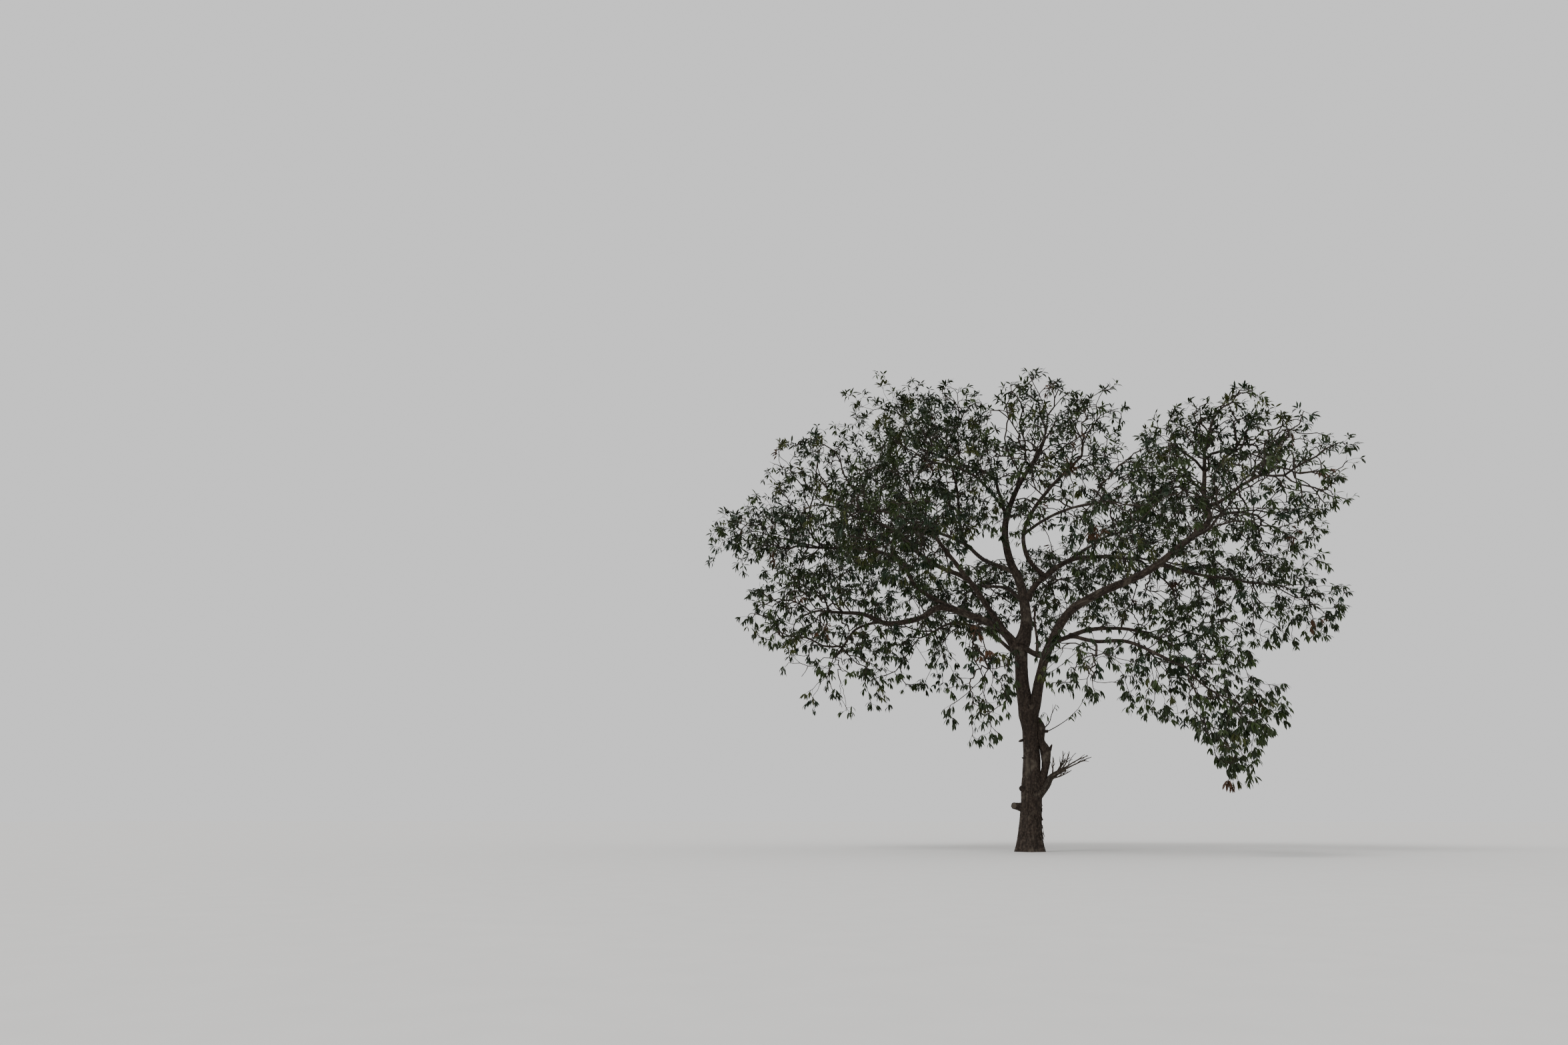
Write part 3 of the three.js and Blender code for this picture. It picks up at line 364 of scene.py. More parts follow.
# Seeded numbers from 0 to 1, the same as the source's
SEED_FACTOR = 1664525
SEED_STEP = 1013904223
SEED_RANGE = 2**32


def seeded(seed):
    """A function that gives the next seeded number each time."""
    state = seed

    def following():
        nonlocal state
        state = (state * SEED_FACTOR + SEED_STEP) % SEED_RANGE
        return state / SEED_RANGE

    return following


# Curves

CURVE_SAMPLES = 200
NUDGE = 1e-4  # of a curve's time, for its direction
LEAST_LENGTH = 1e-12
UPRIGHT = 0.8  # rise of a direction above which +X is taken as across it, in place of +Z


class Curve:
    """A centripetal curve through points, read at shares of its length."""

    def __init__(self, points):
        points = np.array(points, dtype=float)
        padded = np.vstack([2 * points[0] - points[1], points, 2 * points[-1] - points[-2]])
        gaps = np.sqrt(np.linalg.norm(np.diff(padded, axis=0), axis=1))
        self.parts = []
        for i in range(len(points) - 1):
            p0, p1, p2, p3 = padded[i : i + 4]
            d0, d1, d2 = gaps[i : i + 3]
            leave = ((p1 - p0) / d0 - (p2 - p0) / (d0 + d1) + (p2 - p1) / d1) * d1
            arrive = ((p2 - p1) / d1 - (p3 - p1) / (d1 + d2) + (p3 - p2) / d2) * d1
            self.parts.append((p1, leave, 3 * (p2 - p1) - 2 * leave - arrive, 2 * (p1 - p2) + leave + arrive))
        self.parts = np.array(self.parts)
        self.times = np.linspace(0, 1, CURVE_SAMPLES + 1)
        steps = np.linalg.norm(np.diff(self.at_time(self.times), axis=0), axis=1)
        self.lengths = np.concatenate([[0], np.cumsum(steps)])
        self.length = self.lengths[-1]

    def at_time(self, times):
        spans = len(self.parts)
        k = np.clip((times * spans).astype(int), 0, spans - 1)
        w = (times * spans - k)[:, None]
        c0, c1, c2, c3 = np.moveaxis(self.parts[k], 1, 0)
        return c0 + w * (c1 + w * (c2 + w * c3))

    def time_at(self, shares):
        return np.interp(np.atleast_1d(shares) * self.length, self.lengths, self.times)

    def at(self, shares):
        return self.at_time(self.time_at(shares))

    def heading(self, shares):
        times = self.time_at(shares)
        return unit(self.at_time(np.minimum(times + NUDGE, 1)) - self.at_time(np.maximum(times - NUDGE, 0)))


def unit(vectors):
    """Vectors made one long."""
    return vectors / np.maximum(np.linalg.norm(vectors, axis=-1, keepdims=True), LEAST_LENGTH)


def frames_along(ways):
    """Two directions across each place of each path (paths, places, 3), that turn as little as they can."""
    aside = np.where(np.abs(ways[:, 0, 2:]) < UPRIGHT, (0.0, 0.0, 1.0), (1.0, 0.0, 0.0))
    across = np.cross(aside, ways[:, 0])
    all_across = []
    for k in range(ways.shape[1]):
        way = ways[:, k]
        across = unit(across - way * np.sum(across * way, axis=1, keepdims=True))
        all_across.append(across)
    all_across = np.stack(all_across, axis=1)
    return all_across, np.cross(ways, all_across)


# Noise

HASH_FACTORS = (374761393, 668265263, 1440662683, 974634777)
HASH_MIX = 1274126177
HASH_SHIFTS = (13, 16)
WORD = 2**32 - 1


def noise(points, seed):
    """Smooth seeded noise from -1 to 1 at each of the points (n, 3)."""
    cell = np.floor(points).astype(np.int64)
    part = points - cell
    fade = part * part * (3 - 2 * part)
    total = np.zeros(len(points))
    for corner in itertools.product((0, 1), repeat=3):
        numbers = (*(cell + corner).T, seed)
        word = sum(number * factor for number, factor in zip(numbers, HASH_FACTORS)) & WORD
        word = ((word ^ (word >> HASH_SHIFTS[0])) * HASH_MIX) & WORD
        value = (word ^ (word >> HASH_SHIFTS[1])) / (WORD / 2) - 1
        total += value * np.prod(np.where(corner, fade, 1 - fade), axis=1)
    return total


def rough(points, seed):
    """Noise with finer noise on it."""
    return noise(points, seed) + noise(points * 2, seed + 1) / 2


# Meshes


def mesh_piece(name, vertices, faces, looks, face_looks=None):
    """An object of joined arrays: faces is a list of arrays with one face a row."""
    mesh = bpy.data.meshes.new(name)
    mesh.vertices.add(len(vertices))
    mesh.vertices.foreach_set("co", np.asarray(vertices, dtype=np.float32).ravel())
    corners = np.concatenate([part.ravel() for part in faces]).astype(np.int32)
    sizes = np.concatenate([np.full(len(part), part.shape[1]) for part in faces])
    mesh.loops.add(len(corners))
    mesh.loops.foreach_set("vertex_index", corners)
    mesh.polygons.add(len(sizes))
    mesh.polygons.foreach_set("loop_start", np.concatenate([[0], np.cumsum(sizes)[:-1]]).astype(np.int32))
    mesh.polygons.foreach_set("use_smooth", np.ones(len(sizes), dtype=bool))
    for look in looks:
        mesh.materials.append(look)
    if face_looks is not None:
        mesh.polygons.foreach_set("material_index", np.asarray(face_looks, dtype=np.int32))
    mesh.update(calc_edges=True)
    mesh.validate()
    piece = bpy.data.objects.new(name, mesh)
    bpy.context.collection.objects.link(piece)
    return piece


class Build:
    """Vertices and faces gathered from many parts."""

    def __init__(self):
        self.vertices = []
        self.furrows = []
        self.faces = []
        self.count = 0

    def add(self, vertices, faces, furrows=None):
        self.vertices.append(vertices)
        self.furrows.append(np.zeros(len(vertices)) if furrows is None else furrows)
        self.faces.extend(part + self.count for part in faces)
        self.count += len(vertices)

    def dress(self, name, look, slot, *nodes):
        """The gathered parts as one piece, with how deep in a furrow each vertex is."""
        piece = mesh_piece(name, np.vstack(self.vertices), self.faces, [look])
        furrow = piece.data.attributes.new("furrow", "FLOAT", "POINT")
        furrow.data.foreach_set("value", np.concatenate(self.furrows).astype(np.float32))
        tie(piece, slot, *nodes)


def tie(piece, slot, *nodes):
    """Ties a piece to the tree and hides the nodes that it stands for; its slot is not used."""
    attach(piece, "root")
    if nodes:
        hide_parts(*nodes)


def ring_faces(paths, places, sides):
    """Faces of closed tubes: paths tubes of places rings with sides corners each."""
    first = np.arange(paths)[:, None, None] * places * sides
    ring = np.arange(places - 1)[None, :, None] * sides
    corner = np.arange(sides)[None, None, :]
    here = first + ring
    after = (corner + 1) % sides
    quads = np.stack([here + corner, here + after, here + sides + after, here + sides + corner], axis=-1)
    foot = first[:, 0] + np.arange(sides)[::-1]
    tip = first[:, 0] + (places - 1) * sides + np.arange(sides)
    return [quads.reshape(-1, 4), foot, tip]


def tubes(points, radii, sides):
    """Closed tubes along the paths of points (paths, places, 3), with radii (paths, places)."""
    across, up = frames_along(unit(np.gradient(points, axis=1)))
    angles = np.arange(sides) * 2 * math.pi / sides
    side = across[:, :, None] * np.cos(angles)[:, None] + up[:, :, None] * np.sin(angles)[:, None]
    vertices = points[:, :, None] + side * radii[:, :, None, None]
    return vertices.reshape(-1, 3), ring_faces(points.shape[0], points.shape[1], sides)


# Limbs


def between(pairs, places):
    """Values at places in a list of (place, value) pairs."""
    return np.interp(places, [place for place, _ in pairs], [value for _, value in pairs])


def taper(girth, shares):
    thick, thin = girth
    return thin + (thick - thin) * (1 - shares) ** TAPER_POWER


def trunk_radius(shares, angles):
    heights = shares * TRUNK_AXIS[-1][2]
    flare = FLARE_REACH * np.exp(-heights / FLARE_HEIGHT)
    lobes = 1 + LOBE_DEPTH * np.cos(FLARE_LOBES * angles)
    return between(TRUNK_GIRTH, heights) * (1 + flare * lobes)


def plain_radius(name, shares):
    """Radius of a limb without its collar."""
    if name == "trunk":
        return trunk_radius(shares, np.zeros_like(shares))
    return taper(BOUGHS[name].girth, shares)


limb_curves = {"trunk": Curve(TRUNK_AXIS)}
for limb_name, row in BOUGHS.items():
    start = limb_curves[row.carrier].at(row.at)[0]
    limb_curves[limb_name] = Curve([start, *row.through])


def bough_radius(name, shares):
    """Radius of a bough, with the collar where it leaves what carries it."""
    bough = BOUGHS[name]
    carrier = plain_radius(bough.carrier, np.array([float(bough.at)]))[0]
    out = np.maximum(shares * limb_curves[name].length - carrier, 0)
    swelling = COLLAR * np.exp(-out / (COLLAR_REACH * bough.girth[0]))
    return taper(bough.girth, shares) * (1 + swelling)


def bark_relief(rings, radius, along, seed):
    """Height of bark over wood, and how deep in a furrow each place is. rings is (places, sides, 2)."""
    places, sides, _ = rings.shape
    around = (rings * radius[:, None, None]).reshape(-1, 2)
    length = np.repeat(along, sides)
    size = np.repeat(radius, sides)
    place = np.column_stack([around, length])
    furrow_place = np.column_stack([around, length * FURROW_STRETCH]) / FURROW_SPACING
    warp = noise(furrow_place * WARP_STRETCH, seed + WARP_SEED)[:, None] * WARP_DEPTH
    ridges = 1 - np.abs(rough(furrow_place + warp, seed))
    furrow = np.clip(ridges, 0, 1) ** FURROW_POWER
    grain = rough(place / GRAIN_SPACING, seed + GRAIN_SEED)
    lumps = noise(place / LUMP_SPACING, seed + LUMP_SEED)
    depth = np.minimum(size * FURROW_DEPTH, FURROW_DEEPEST)
    height = lumps * size * LUMP_HEIGHT - furrow * depth + grain * depth * GRAIN_DEPTH
    return height.reshape(places, sides), furrow


def wood_tube(curve, radius_at, sides, seed, step=RING_STEP, relief=1, wander=LIMB_WANDER):
    """A closed tube of wood along a curve, with bark relief, for Build.add. radius_at(shares, angles)."""
    places = max(FEWEST_RINGS, round(curve.length / step))
    shares = np.linspace(0, 1, places)
    angles = np.arange(sides) * 2 * math.pi / sides
    centre = curve.at(shares)
    across, up = (part[0] for part in frames_along(curve.heading(shares)[None]))
    radius = radius_at(shares[:, None], angles[None, :]) * np.ones((places, sides))
    mean = radius.mean(axis=1)
    along = shares * curve.length
    ease = np.clip(np.minimum(along, curve.length - along) / WANDER_EASE, 0, 1)
    line = np.column_stack([along / WANDER_SPACING, np.zeros(places), np.zeros(places)])
    stray = wander * mean * ease
    for direction, number in zip((across, up), WANDER_SEEDS):
        centre = centre + direction * (noise(line, seed + number) * stray)[:, None]
    rings = np.stack([np.cos(angles), np.sin(angles)], axis=-1)[None] * np.ones((places, 1, 1))
    height, furrow = bark_relief(rings, mean, along, seed)
    side = across[:, None] * rings[..., :1] + up[:, None] * rings[..., 1:]
    vertices = centre[:, None] + side * (radius + height * relief)[..., None]
    return vertices.reshape(-1, 3), ring_faces(1, places, sides), furrow


def make_trunk(look):
    build = Build()
    tube = wood_tube(limb_curves["trunk"], trunk_radius, TRUNK_SIDES, TRUNK_SEED, step=TRUNK_STEP, wander=0)
    vertices = tube[0]
    vertices[:TRUNK_SIDES, 2] = 0
    vertices[:, 2] = np.maximum(vertices[:, 2], 0)
    build.add(*tube)
    add_knobs(build)
    add_strips(build)
    build.dress("trunk_bark", look, "bark", "trunk")


def make_bough(name, seed, look):
    build = Build()
    sides = int(np.clip(2 * math.pi * BOUGHS[name].girth[0] / BARK_CELL, *LIMB_SIDES))
    build.add(*wood_tube(limb_curves[name], lambda shares, _: bough_radius(name, shares), sides, seed))
    build.dress(f"bough_{name}_bark", look, "bark", f"bough_{name}")


# Spaces: an ellipsoid round each mass's middle, cut by a plane between it and each of the others

spaces = {}
for limb_name, row in BOUGHS.items():
    spaces[limb_name] = {
        "middle": np.array(row.middle),
        "reach": np.array(row.reach),
        "inward": unit(np.array(HEART) - row.middle),
        "walls": [],
    }


def add_walls(space):
    for other in spaces.values():
        if other is space:
            continue
        normal = other["middle"] - space["middle"]
        apart = np.linalg.norm(normal)
        normal = normal / apart
        own = np.linalg.norm(space["reach"] * normal)
        share = own / (own + np.linalg.norm(other["reach"] * normal))
        space["walls"].append((normal, apart * share - SPACE_MARGIN))


for each_space in spaces.values():
    add_walls(each_space)


def seen_in(points, ellipses):
    """Whether the viewer sees each of the points in any of the ellipses, which are given as the gaps are."""
    eye_across, eye_depth, eye_up = CAMERA_PLACE
    share = -eye_depth / (points[..., 1] - eye_depth)
    across = eye_across + (points[..., 0] - eye_across) * share
    up = eye_up + (points[..., 2] - eye_up) * share
    seen = [np.hypot((across - x) / width, (up - z) / height) < 1 for x, z, width, height in ellipses]
    return np.any(seen, axis=0)


def kept_share(points):
    """The share of the finer twigs that grow at each of the points."""
    share = np.ones(len(points))
    for *ellipse, kept in THIN_PLACES:
        share[seen_in(points, [ellipse])] = kept
    share[seen_in(points, GAPS.values())] = GAP_SHARE
    share[seen_in(points, NOTCHES) | (points[:, 2] < LOWEST_TWIG)] = 0
    return share


def within_walls(space, points):
    """Whether each of the points is on the space's own side of the walls."""
    offset = points - space["middle"]
    inside = np.ones(offset.shape[:-1], dtype=bool)
    for normal, distance in space["walls"]:
        inside &= offset @ normal < distance
    return inside


def stretched_out(space, points):
    """How far out each of the points is, as a share of the ellipsoid stretched towards the heart."""
    offset = points - space["middle"]
    inward = np.maximum(offset @ space["inward"], 0)[:, None] * space["inward"]
    offset = offset - inward * (1 - 1 / INWARD_STRETCH)
    return np.linalg.norm(offset / space["reach"], axis=-1)


def in_layer(points):
    """Whether each of the points is in a layer of foliage, or low down in a hanging strand of it."""
    layers = noise(points / LAYER_SPACING, LAYER_SEED)
    strands = noise(points / STRAND_SPACING, STRAND_SEED)
    low = np.interp(points[:, 2], STRAND_HEIGHTS, (1, 0))
    return seen_in(points, FULL_PLACES) | (layers * (1 - low) + strands * low > LAYER_LEVEL)


def in_foliage(space, points, scale, random):
    """Whether each of the points is short of the mass's ragged edge, and in a layer of its foliage."""
    edge = scale * (1 - RAGGED_DEPTH * (1 + noise(points / RAGGED_SPACING, RAGGED_SEED)) / 2)
    short = (stretched_out(space, points) <= edge) & within_walls(space, points)
    return short & (random.random_sample(len(points)) < kept_share(points)) & in_layer(points)


def watch_limbs():
    """Places along the limbs with the heading and radius there, to keep leaves and twigs off them."""
    points = []
    headings = []
    radii = []
    for name, curve in limb_curves.items():
        shares = np.linspace(0, 1, math.ceil(curve.length / WATCH_STEP) + 1)
        points.append(curve.at(shares))
        headings.append(curve.heading(shares))
        radii.append(plain_radius(name, shares))
    return np.vstack(points), np.vstack(headings), np.concatenate(radii)


WATCH_POINTS, WATCH_HEADINGS, WATCH_RADII = watch_limbs()


def clear_of_limbs(points, watched):
    """Whether each of the points is clear of the limbs in the mask."""
    clear = np.ones(len(points), dtype=bool)
    if not watched.any():
        return clear
    for first in range(0, len(points), TESTED_AT_ONCE):
        part = slice(first, first + TESTED_AT_ONCE)
        gaps = np.linalg.norm(points[part, None] - WATCH_POINTS[watched], axis=2) - WATCH_RADII[watched]
        clear[part] = gaps.min(axis=1) > LIMB_CLEARANCE
    return clear


# Twigs


def random_point_in(space, scale, random):
    """A place in the space with its ellipsoid made scale times the size, where the crown has no gap."""
    while True:
        point = np.array([random() * 2 - 1 for _ in range(3)])
        if np.linalg.norm(point) > 1:
            continue
        point = point * space["reach"] * scale + space["middle"]
        out = np.linalg.norm((point - space["middle"]) / space["reach"], axis=-1)
        if out <= scale and within_walls(space, point) and not seen_in(point, GAPS.values()):
            return point


def farthest(tries, targets):
    """The one of the tries that is farthest from all of the targets so far."""
    if not len(targets):
        return tries[0]
    return tries[np.argmax(np.linalg.norm(tries[:, None] - targets, axis=2).min(axis=1))]


def main_targets(name, random):
    """Where the main twigs end, by the source's rule."""
    space = spaces[name]
    count = MAIN_TWIGS["density"] * BOUGHS[name].fullness * math.sqrt(math.prod(space["reach"]))
    targets = np.empty((math.floor(count + 0.5), 3))
    for i in range(len(targets)):
        tries = [random_point_in(space, MAIN_TWIGS["reach"], random) for _ in range(MAIN_TWIGS["tries"])]
        targets[i] = farthest(np.array(tries), targets[:i])
    return targets


def finer_targets(name, level, random):
    """Where finer twigs end: spread evenly through the layers of foliage in the space."""
    space = spaces[name]
    half = space["reach"] * level["reach"] * INWARD_STRETCH

    def scatter(number):
        points = (random.random_sample((number, 3)) * 2 - 1) * half + space["middle"]
        return points, in_foliage(space, points, level["reach"], random)

    share = scatter(VOLUME_TRIES)[1].mean()
    count = round(level["density"] * BOUGHS[name].leafiness * np.prod(2 * half) * share)
    pool, grows = scatter(math.ceil(count * level["tries"] / share))
    pool = pool[grows]
    targets = np.empty((min(count, len(pool) // level["tries"]), 3))
    for i in range(len(targets)):
        targets[i] = farthest(pool[i * level["tries"] : (i + 1) * level["tries"]], targets[:i])
    return targets


class Mass:
    """The twigs of one mass: nodes with their places, what they grow from and their way from the foot."""

    def __init__(self, name):
        self.name = name
        self.space = spaces[name]
        far = self.space["reach"].max() * INWARD_STRETCH + WATCH_MARGIN
        self.watched = np.linalg.norm(WATCH_POINTS - self.space["middle"], axis=1) < far
        self.points = np.empty((MOST_NODES, 3))
        self.ways = np.empty(MOST_NODES)
        self.joint = np.zeros(MOST_NODES, dtype=bool)
        self.parents = np.full(MOST_NODES, -1)
        self.headings = np.zeros((MOST_NODES, 3))
        self.count = 0
        self.twigs = []
        curve = limb_curves[name]
        heading = curve.heading(1)[0]
        foot = self.add(curve.at(1)[0], -1, 0, False, heading)
        self.crotch = self.points[foot] + heading * STEM_LENGTH
        self.add(self.crotch, foot, STEM_LENGTH, True, heading)

    def add(self, point, parent, way, joint, heading):
        """The number of a new node. Twigs may fork at a joint."""
        index = self.count
        self.points[index] = point
        self.parents[index] = parent
        self.ways[index] = way
        self.joint[index] = joint
        self.headings[index] = heading
        self.count += 1
        return index

    def join_limbs(self):
        """Lets finer twigs grow from the limbs that pass through or near the space."""
        near = stretched_out(self.space, WATCH_POINTS) < LIMB_JOINTS_REACH
        near &= WATCH_POINTS[:, 2] > LOWEST_JOINT
        for index in np.flatnonzero(near)[::LIMB_JOINTS]:
            self.add(WATCH_POINTS[index], -1, 0, True, WATCH_HEADINGS[index])

    def grow(self, targets, level, finer, random):
        """Joins each target to the nearest part of the twigs so far, nearest targets first."""
        order = np.argsort(np.linalg.norm(targets - self.crotch, axis=1), kind="stable")
        for target in targets[order]:
            self.grow_to(target, level, finer, random)

    def grow_to(self, target, level, finer, random):
        """A twig to the target, if it is clear of the limbs. Only finer ones start between joints."""
        steps = level["steps"]
        if self.count + steps > MOST_NODES:
            return
        known = slice(1, self.count)
        cost = np.linalg.norm(self.points[known] - target, axis=1) + level["path_weight"] * self.ways[known]
        if not finer:
            cost = np.where(self.joint[known], cost, np.inf)
        best = int(np.argmin(cost)) + 1
        start = self.points[best]
        length = np.linalg.norm(target - start)
        middle = (start + target) / 2 + (0, 0, length * TWIG_SAG)
        if finer:
            middle = middle + self.headings[best] * length * TWIG_LEAD
        t = np.linspace(0, 1, steps + 1)[1:, None]
        path = 2 * (t - 0.5) * (t - 1) * start - 4 * t * (t - 1) * middle + 2 * t * (t - 0.5) * target
        if not clear_of_limbs(path, self.watched).all():
            return
        joints = [steps // 2 - 1, steps - 1]
        stray = (random.random_sample((steps, 3)) - 0.5) * 2 * TWIG_WANDER * length
        stray[joints] = 0
        chain = [best]
        for k, point in enumerate(path + stray):
            way = self.ways[best] + length * (k + 1) / steps
            heading = unit(point - self.points[chain[-1]])
            chain.append(self.add(point, chain[-1], way, k in joints, heading))
        self.twigs.append((finer, chain))

    def radii(self):
        """Radius at each node, which follows how many twig ends it carries."""
        carried = np.zeros(self.count)
        for _, chain in self.twigs:
            carried[chain[-1]] += 1
        for i in range(self.count - 1, 0, -1):
            if self.parents[i] >= 0:
                carried[self.parents[i]] += carried[i]
        share = (carried / max(carried[0], 1)) ** PIPE_POWER
        return np.maximum(BOUGHS[self.name].girth[1] * np.minimum(share, 1), THINNEST_TWIG)


def grow_mass(name, seed):
    """A mass by the source's rule, carried on to finer twigs."""
    mass = Mass(name)
    random = np.random.RandomState(seed)
    mass.grow(main_targets(name, seeded(seed)), MAIN_TWIGS, False, random)
    mass.join_limbs()
    for level in FINER_TWIGS:
        mass.grow(finer_targets(name, level, random), level, True, random)
    return mass


def add_twigs(build, mass, shoots):
    """The mass's stem, twigs and shoots as tubes: thick ones with more sides than thin ones."""
    radii = mass.radii()
    groups = {}
    stem = [0, 1]
    for chain in [stem, *(chain for _, chain in mass.twigs)]:
        radius = radii[chain]
        if chain is not stem:
            radius[0] = radius[1]
        sides = TWIG_SIDES if radius.max() < THIN_TWIG else MAIN_SIDES
        groups.setdefault((len(chain), sides), []).append((chain, radius))
    for (_, sides), members in sorted(groups.items()):
        points = mass.points[np.array([chain for chain, _ in members])]
        build.add(*tubes(points, np.array([radius for _, radius in members]), sides))
    radius = np.linspace(*SHOOT_RADIUS, shoots.shape[1])
    build.add(*tubes(shoots, np.tile(radius, (len(shoots), 1)), TWIG_SIDES))


def grow_shoots(mass, random):
    """A spray of shoots on each finer twig: their points (shoots, nodes, 3) and the number of their spray."""
    ends = mass.points[np.array([chain[-3:] for finer, chain in mass.twigs if finer])]
    counts = random.randint(*SPRAY_SHOOTS, len(ends))
    spray = np.repeat(np.arange(len(ends)), counts)
    ends = ends[spray]
    share = random.random_sample((len(spray), 1))
    share[np.cumsum(counts) - 1] = 1
    foot = ends[:, 1] * (1 - share) + ends[:, 2] * share
    ahead = unit(ends[:, 2] - ends[:, 0])
    aside = unit(random.standard_normal(ahead.shape)) * SHOOT_SPREAD
    length = random.uniform(*SHOOT_LENGTH, (len(spray), 1))
    tip = foot + unit(ahead + aside) * length
    middle = (foot + tip) / 2 + ahead * length * SHOOT_BOW
    kept = (stretched_out(mass.space, tip) < 1) & ~seen_in(tip, NOTCHES)
    kept &= clear_of_limbs(tip, mass.watched) & clear_of_limbs(middle, mass.watched)
    return np.stack([foot, middle, tip], axis=1)[kept], spray[kept]


# Leaves


def leaf_roots(shoots, random):
    """Where leaves grow: their roots, the way of their shoot, their turn round it and its number."""
    tips = shoots[:, -1]
    backs = shoots[:, -2]
    axes = unit(tips - backs)
    leafy = random.random_sample(len(shoots)) > BARE_SHOOTS
    whorl = random.randint(WHORL[0], WHORL[1] + 1, len(shoots)) * leafy
    sides = random.randint(0, SIDE_LEAVES + 1, len(shoots)) * leafy
    at_tip = np.repeat(np.arange(len(shoots)), whorl)
    at_side = np.repeat(np.arange(len(shoots)), sides)
    order = np.concatenate([np.arange(count) for count in whorl])
    roots = tips[at_tip] - axes[at_tip] * (order * LEAF_STEP)[:, None]
    share = random.random_sample(len(at_side))[:, None]
    side_roots = tips[at_side] * (1 - share) + backs[at_side] * share
    side_turns = random.random_sample(len(at_side)) * SIDE_LEAF_TURNS
    turns = np.concatenate([order, side_turns]) * GOLDEN_ANGLE
    shoot = np.concatenate([at_tip, at_side])
    start = random.random_sample(len(shoots)) * 2 * math.pi
    return np.vstack([roots, side_roots]), axes[shoot], turns + start[shoot], shoot


def leaf_directions(roots, axes, turns, random):
    across, up = (part[:, 0] for part in frames_along(axes[:, None]))
    least, most = LEAF_TILT
    tilt = np.radians(least + (most - least) * random.random_sample(len(roots)))[:, None]
    out = across * np.cos(turns)[:, None] + up * np.sin(turns)[:, None]
    ways = axes * np.cos(tilt) + out * np.sin(tilt)
    ways[:, 2] -= np.interp(roots[:, 2], DROOP_HEIGHTS, DROOP)
    return unit(ways)


def leaf_lengths(count, random):
    return LEAF_LENGTH * (1 + LEAF_SPREAD * (random.random_sample(count) * 2 - 1))


def leaf_corners(roots, ways, lengths, random):
    """The corners of every leaf, (leaves, corners, 3). A leaf's upper face looks to the sky."""
    sky = np.array([0, 0, 1]) + (random.random_sample(roots.shape) - 0.5) * LEAF_UNEVENNESS
    across = unit(np.cross(ways, sky))
    roll = ((random.random_sample(len(roots)) - 0.5) * 2 * LEAF_ROLL)[:, None]
    face = np.cross(across, ways)
    across, face = across * np.cos(roll) + face * np.sin(roll), face * np.cos(roll) - across * np.sin(roll)
    aside, along, up = (part[None, :, None] for part in np.transpose(LEAF_SHAPE))
    width = (lengths * LEAF_WIDTH)[:, None, None]
    length = lengths[:, None, None]
    curl = LEAF_CURL[0] + LEAF_CURL[1] * random.random_sample((len(roots), 1, 1))
    return (
        roots[:, None]
        + across[:, None] * aside * width
        + ways[:, None] * along * length
        + face[:, None] * up * length * curl
    )


def mass_leaves(mass, shoots, sprays, random):
    """Corners and tints of the leaves of one mass that keep to its space and touch no limb."""
    roots, axes, turns, shoot = leaf_roots(shoots, random)
    ways = leaf_directions(roots, axes, turns, random)
    lengths = leaf_lengths(len(roots), random)
    tips = roots + ways * lengths[:, None]
    kept = (stretched_out(mass.space, tips) < LEAF_REACH) & clear_of_limbs(tips, mass.watched)
    kept &= clear_of_limbs((roots + tips) / 2, mass.watched)
    corners = leaf_corners(roots[kept], ways[kept], lengths[kept], random)
    chances = np.array([share for _, share in LEAF_TINTS.values()])
    tints = random.choice(len(chances), sprays.max() + 1, p=chances / chances.sum())
    return corners, tints[sprays[shoot[kept]]]


def dress_leaves(name, corners, looks, tints, *nodes):
    """Leaves as one piece. corners is (leaves, corners, 3), and tints the number of each leaf's look."""
    first = np.arange(len(corners))[:, None, None] * len(LEAF_SHAPE)
    faces = (first + np.array(LEAF_FACES)).reshape(-1, 3)
    piece = mesh_piece(name, corners.reshape(-1, 3), [faces], looks, np.repeat(tints, len(LEAF_FACES)))
    tie(piece, "foliage", *nodes)


def make_region(region, names, leaf_looks, twig_look):
    """The leaves and the twigs of the masses on one side of the crown, each kind one piece."""
    build = Build()
    corners = []
    tints = []
    for name in names:
        seed = FIRST_SEED + list(BOUGHS).index(name)
        mass = grow_mass(name, seed)
        random = np.random.RandomState(LEAF_SEED + seed)
        shoots, sprays = grow_shoots(mass, random)
        add_twigs(build, mass, shoots)
        leaves, tint = mass_leaves(mass, shoots, sprays, random)
        corners.append(leaves)
        tints.append(tint)
    build.dress(f"twigs_{region}", twig_look, "bark")
    nodes = [f"leaves_{name}" for name in names]
    dress_leaves(
        f"leaves_{region}_sprays", np.concatenate(corners), leaf_looks, np.concatenate(tints), *nodes
    )


# Old wounds, knobs and loose bark on the trunk, and the thin limbs in its fork

WOUND_SIDES = 36
CUT_STEM_PATH = [
    (0.215, -0.02, 1.13), (0.385, -0.04, 1.6), (0.405, -0.05, 1.9),
    (0.33, -0.04, 2.15), (0.36, -0.04, 2.4), (0.3, -0.02, 2.58),
]
CUT_STEM_GIRTH = [
    (0, 0.074), (0.3, 0.07), (0.42, 0.088), (0.54, 0.108), (0.68, 0.07), (0.86, 0.078), (1, 0.046),
]
CUT_STEM_RELIEF = {"step": 0.012, "relief": 2.2, "wander": 0.1}
CUT_STEM_SEED = 71
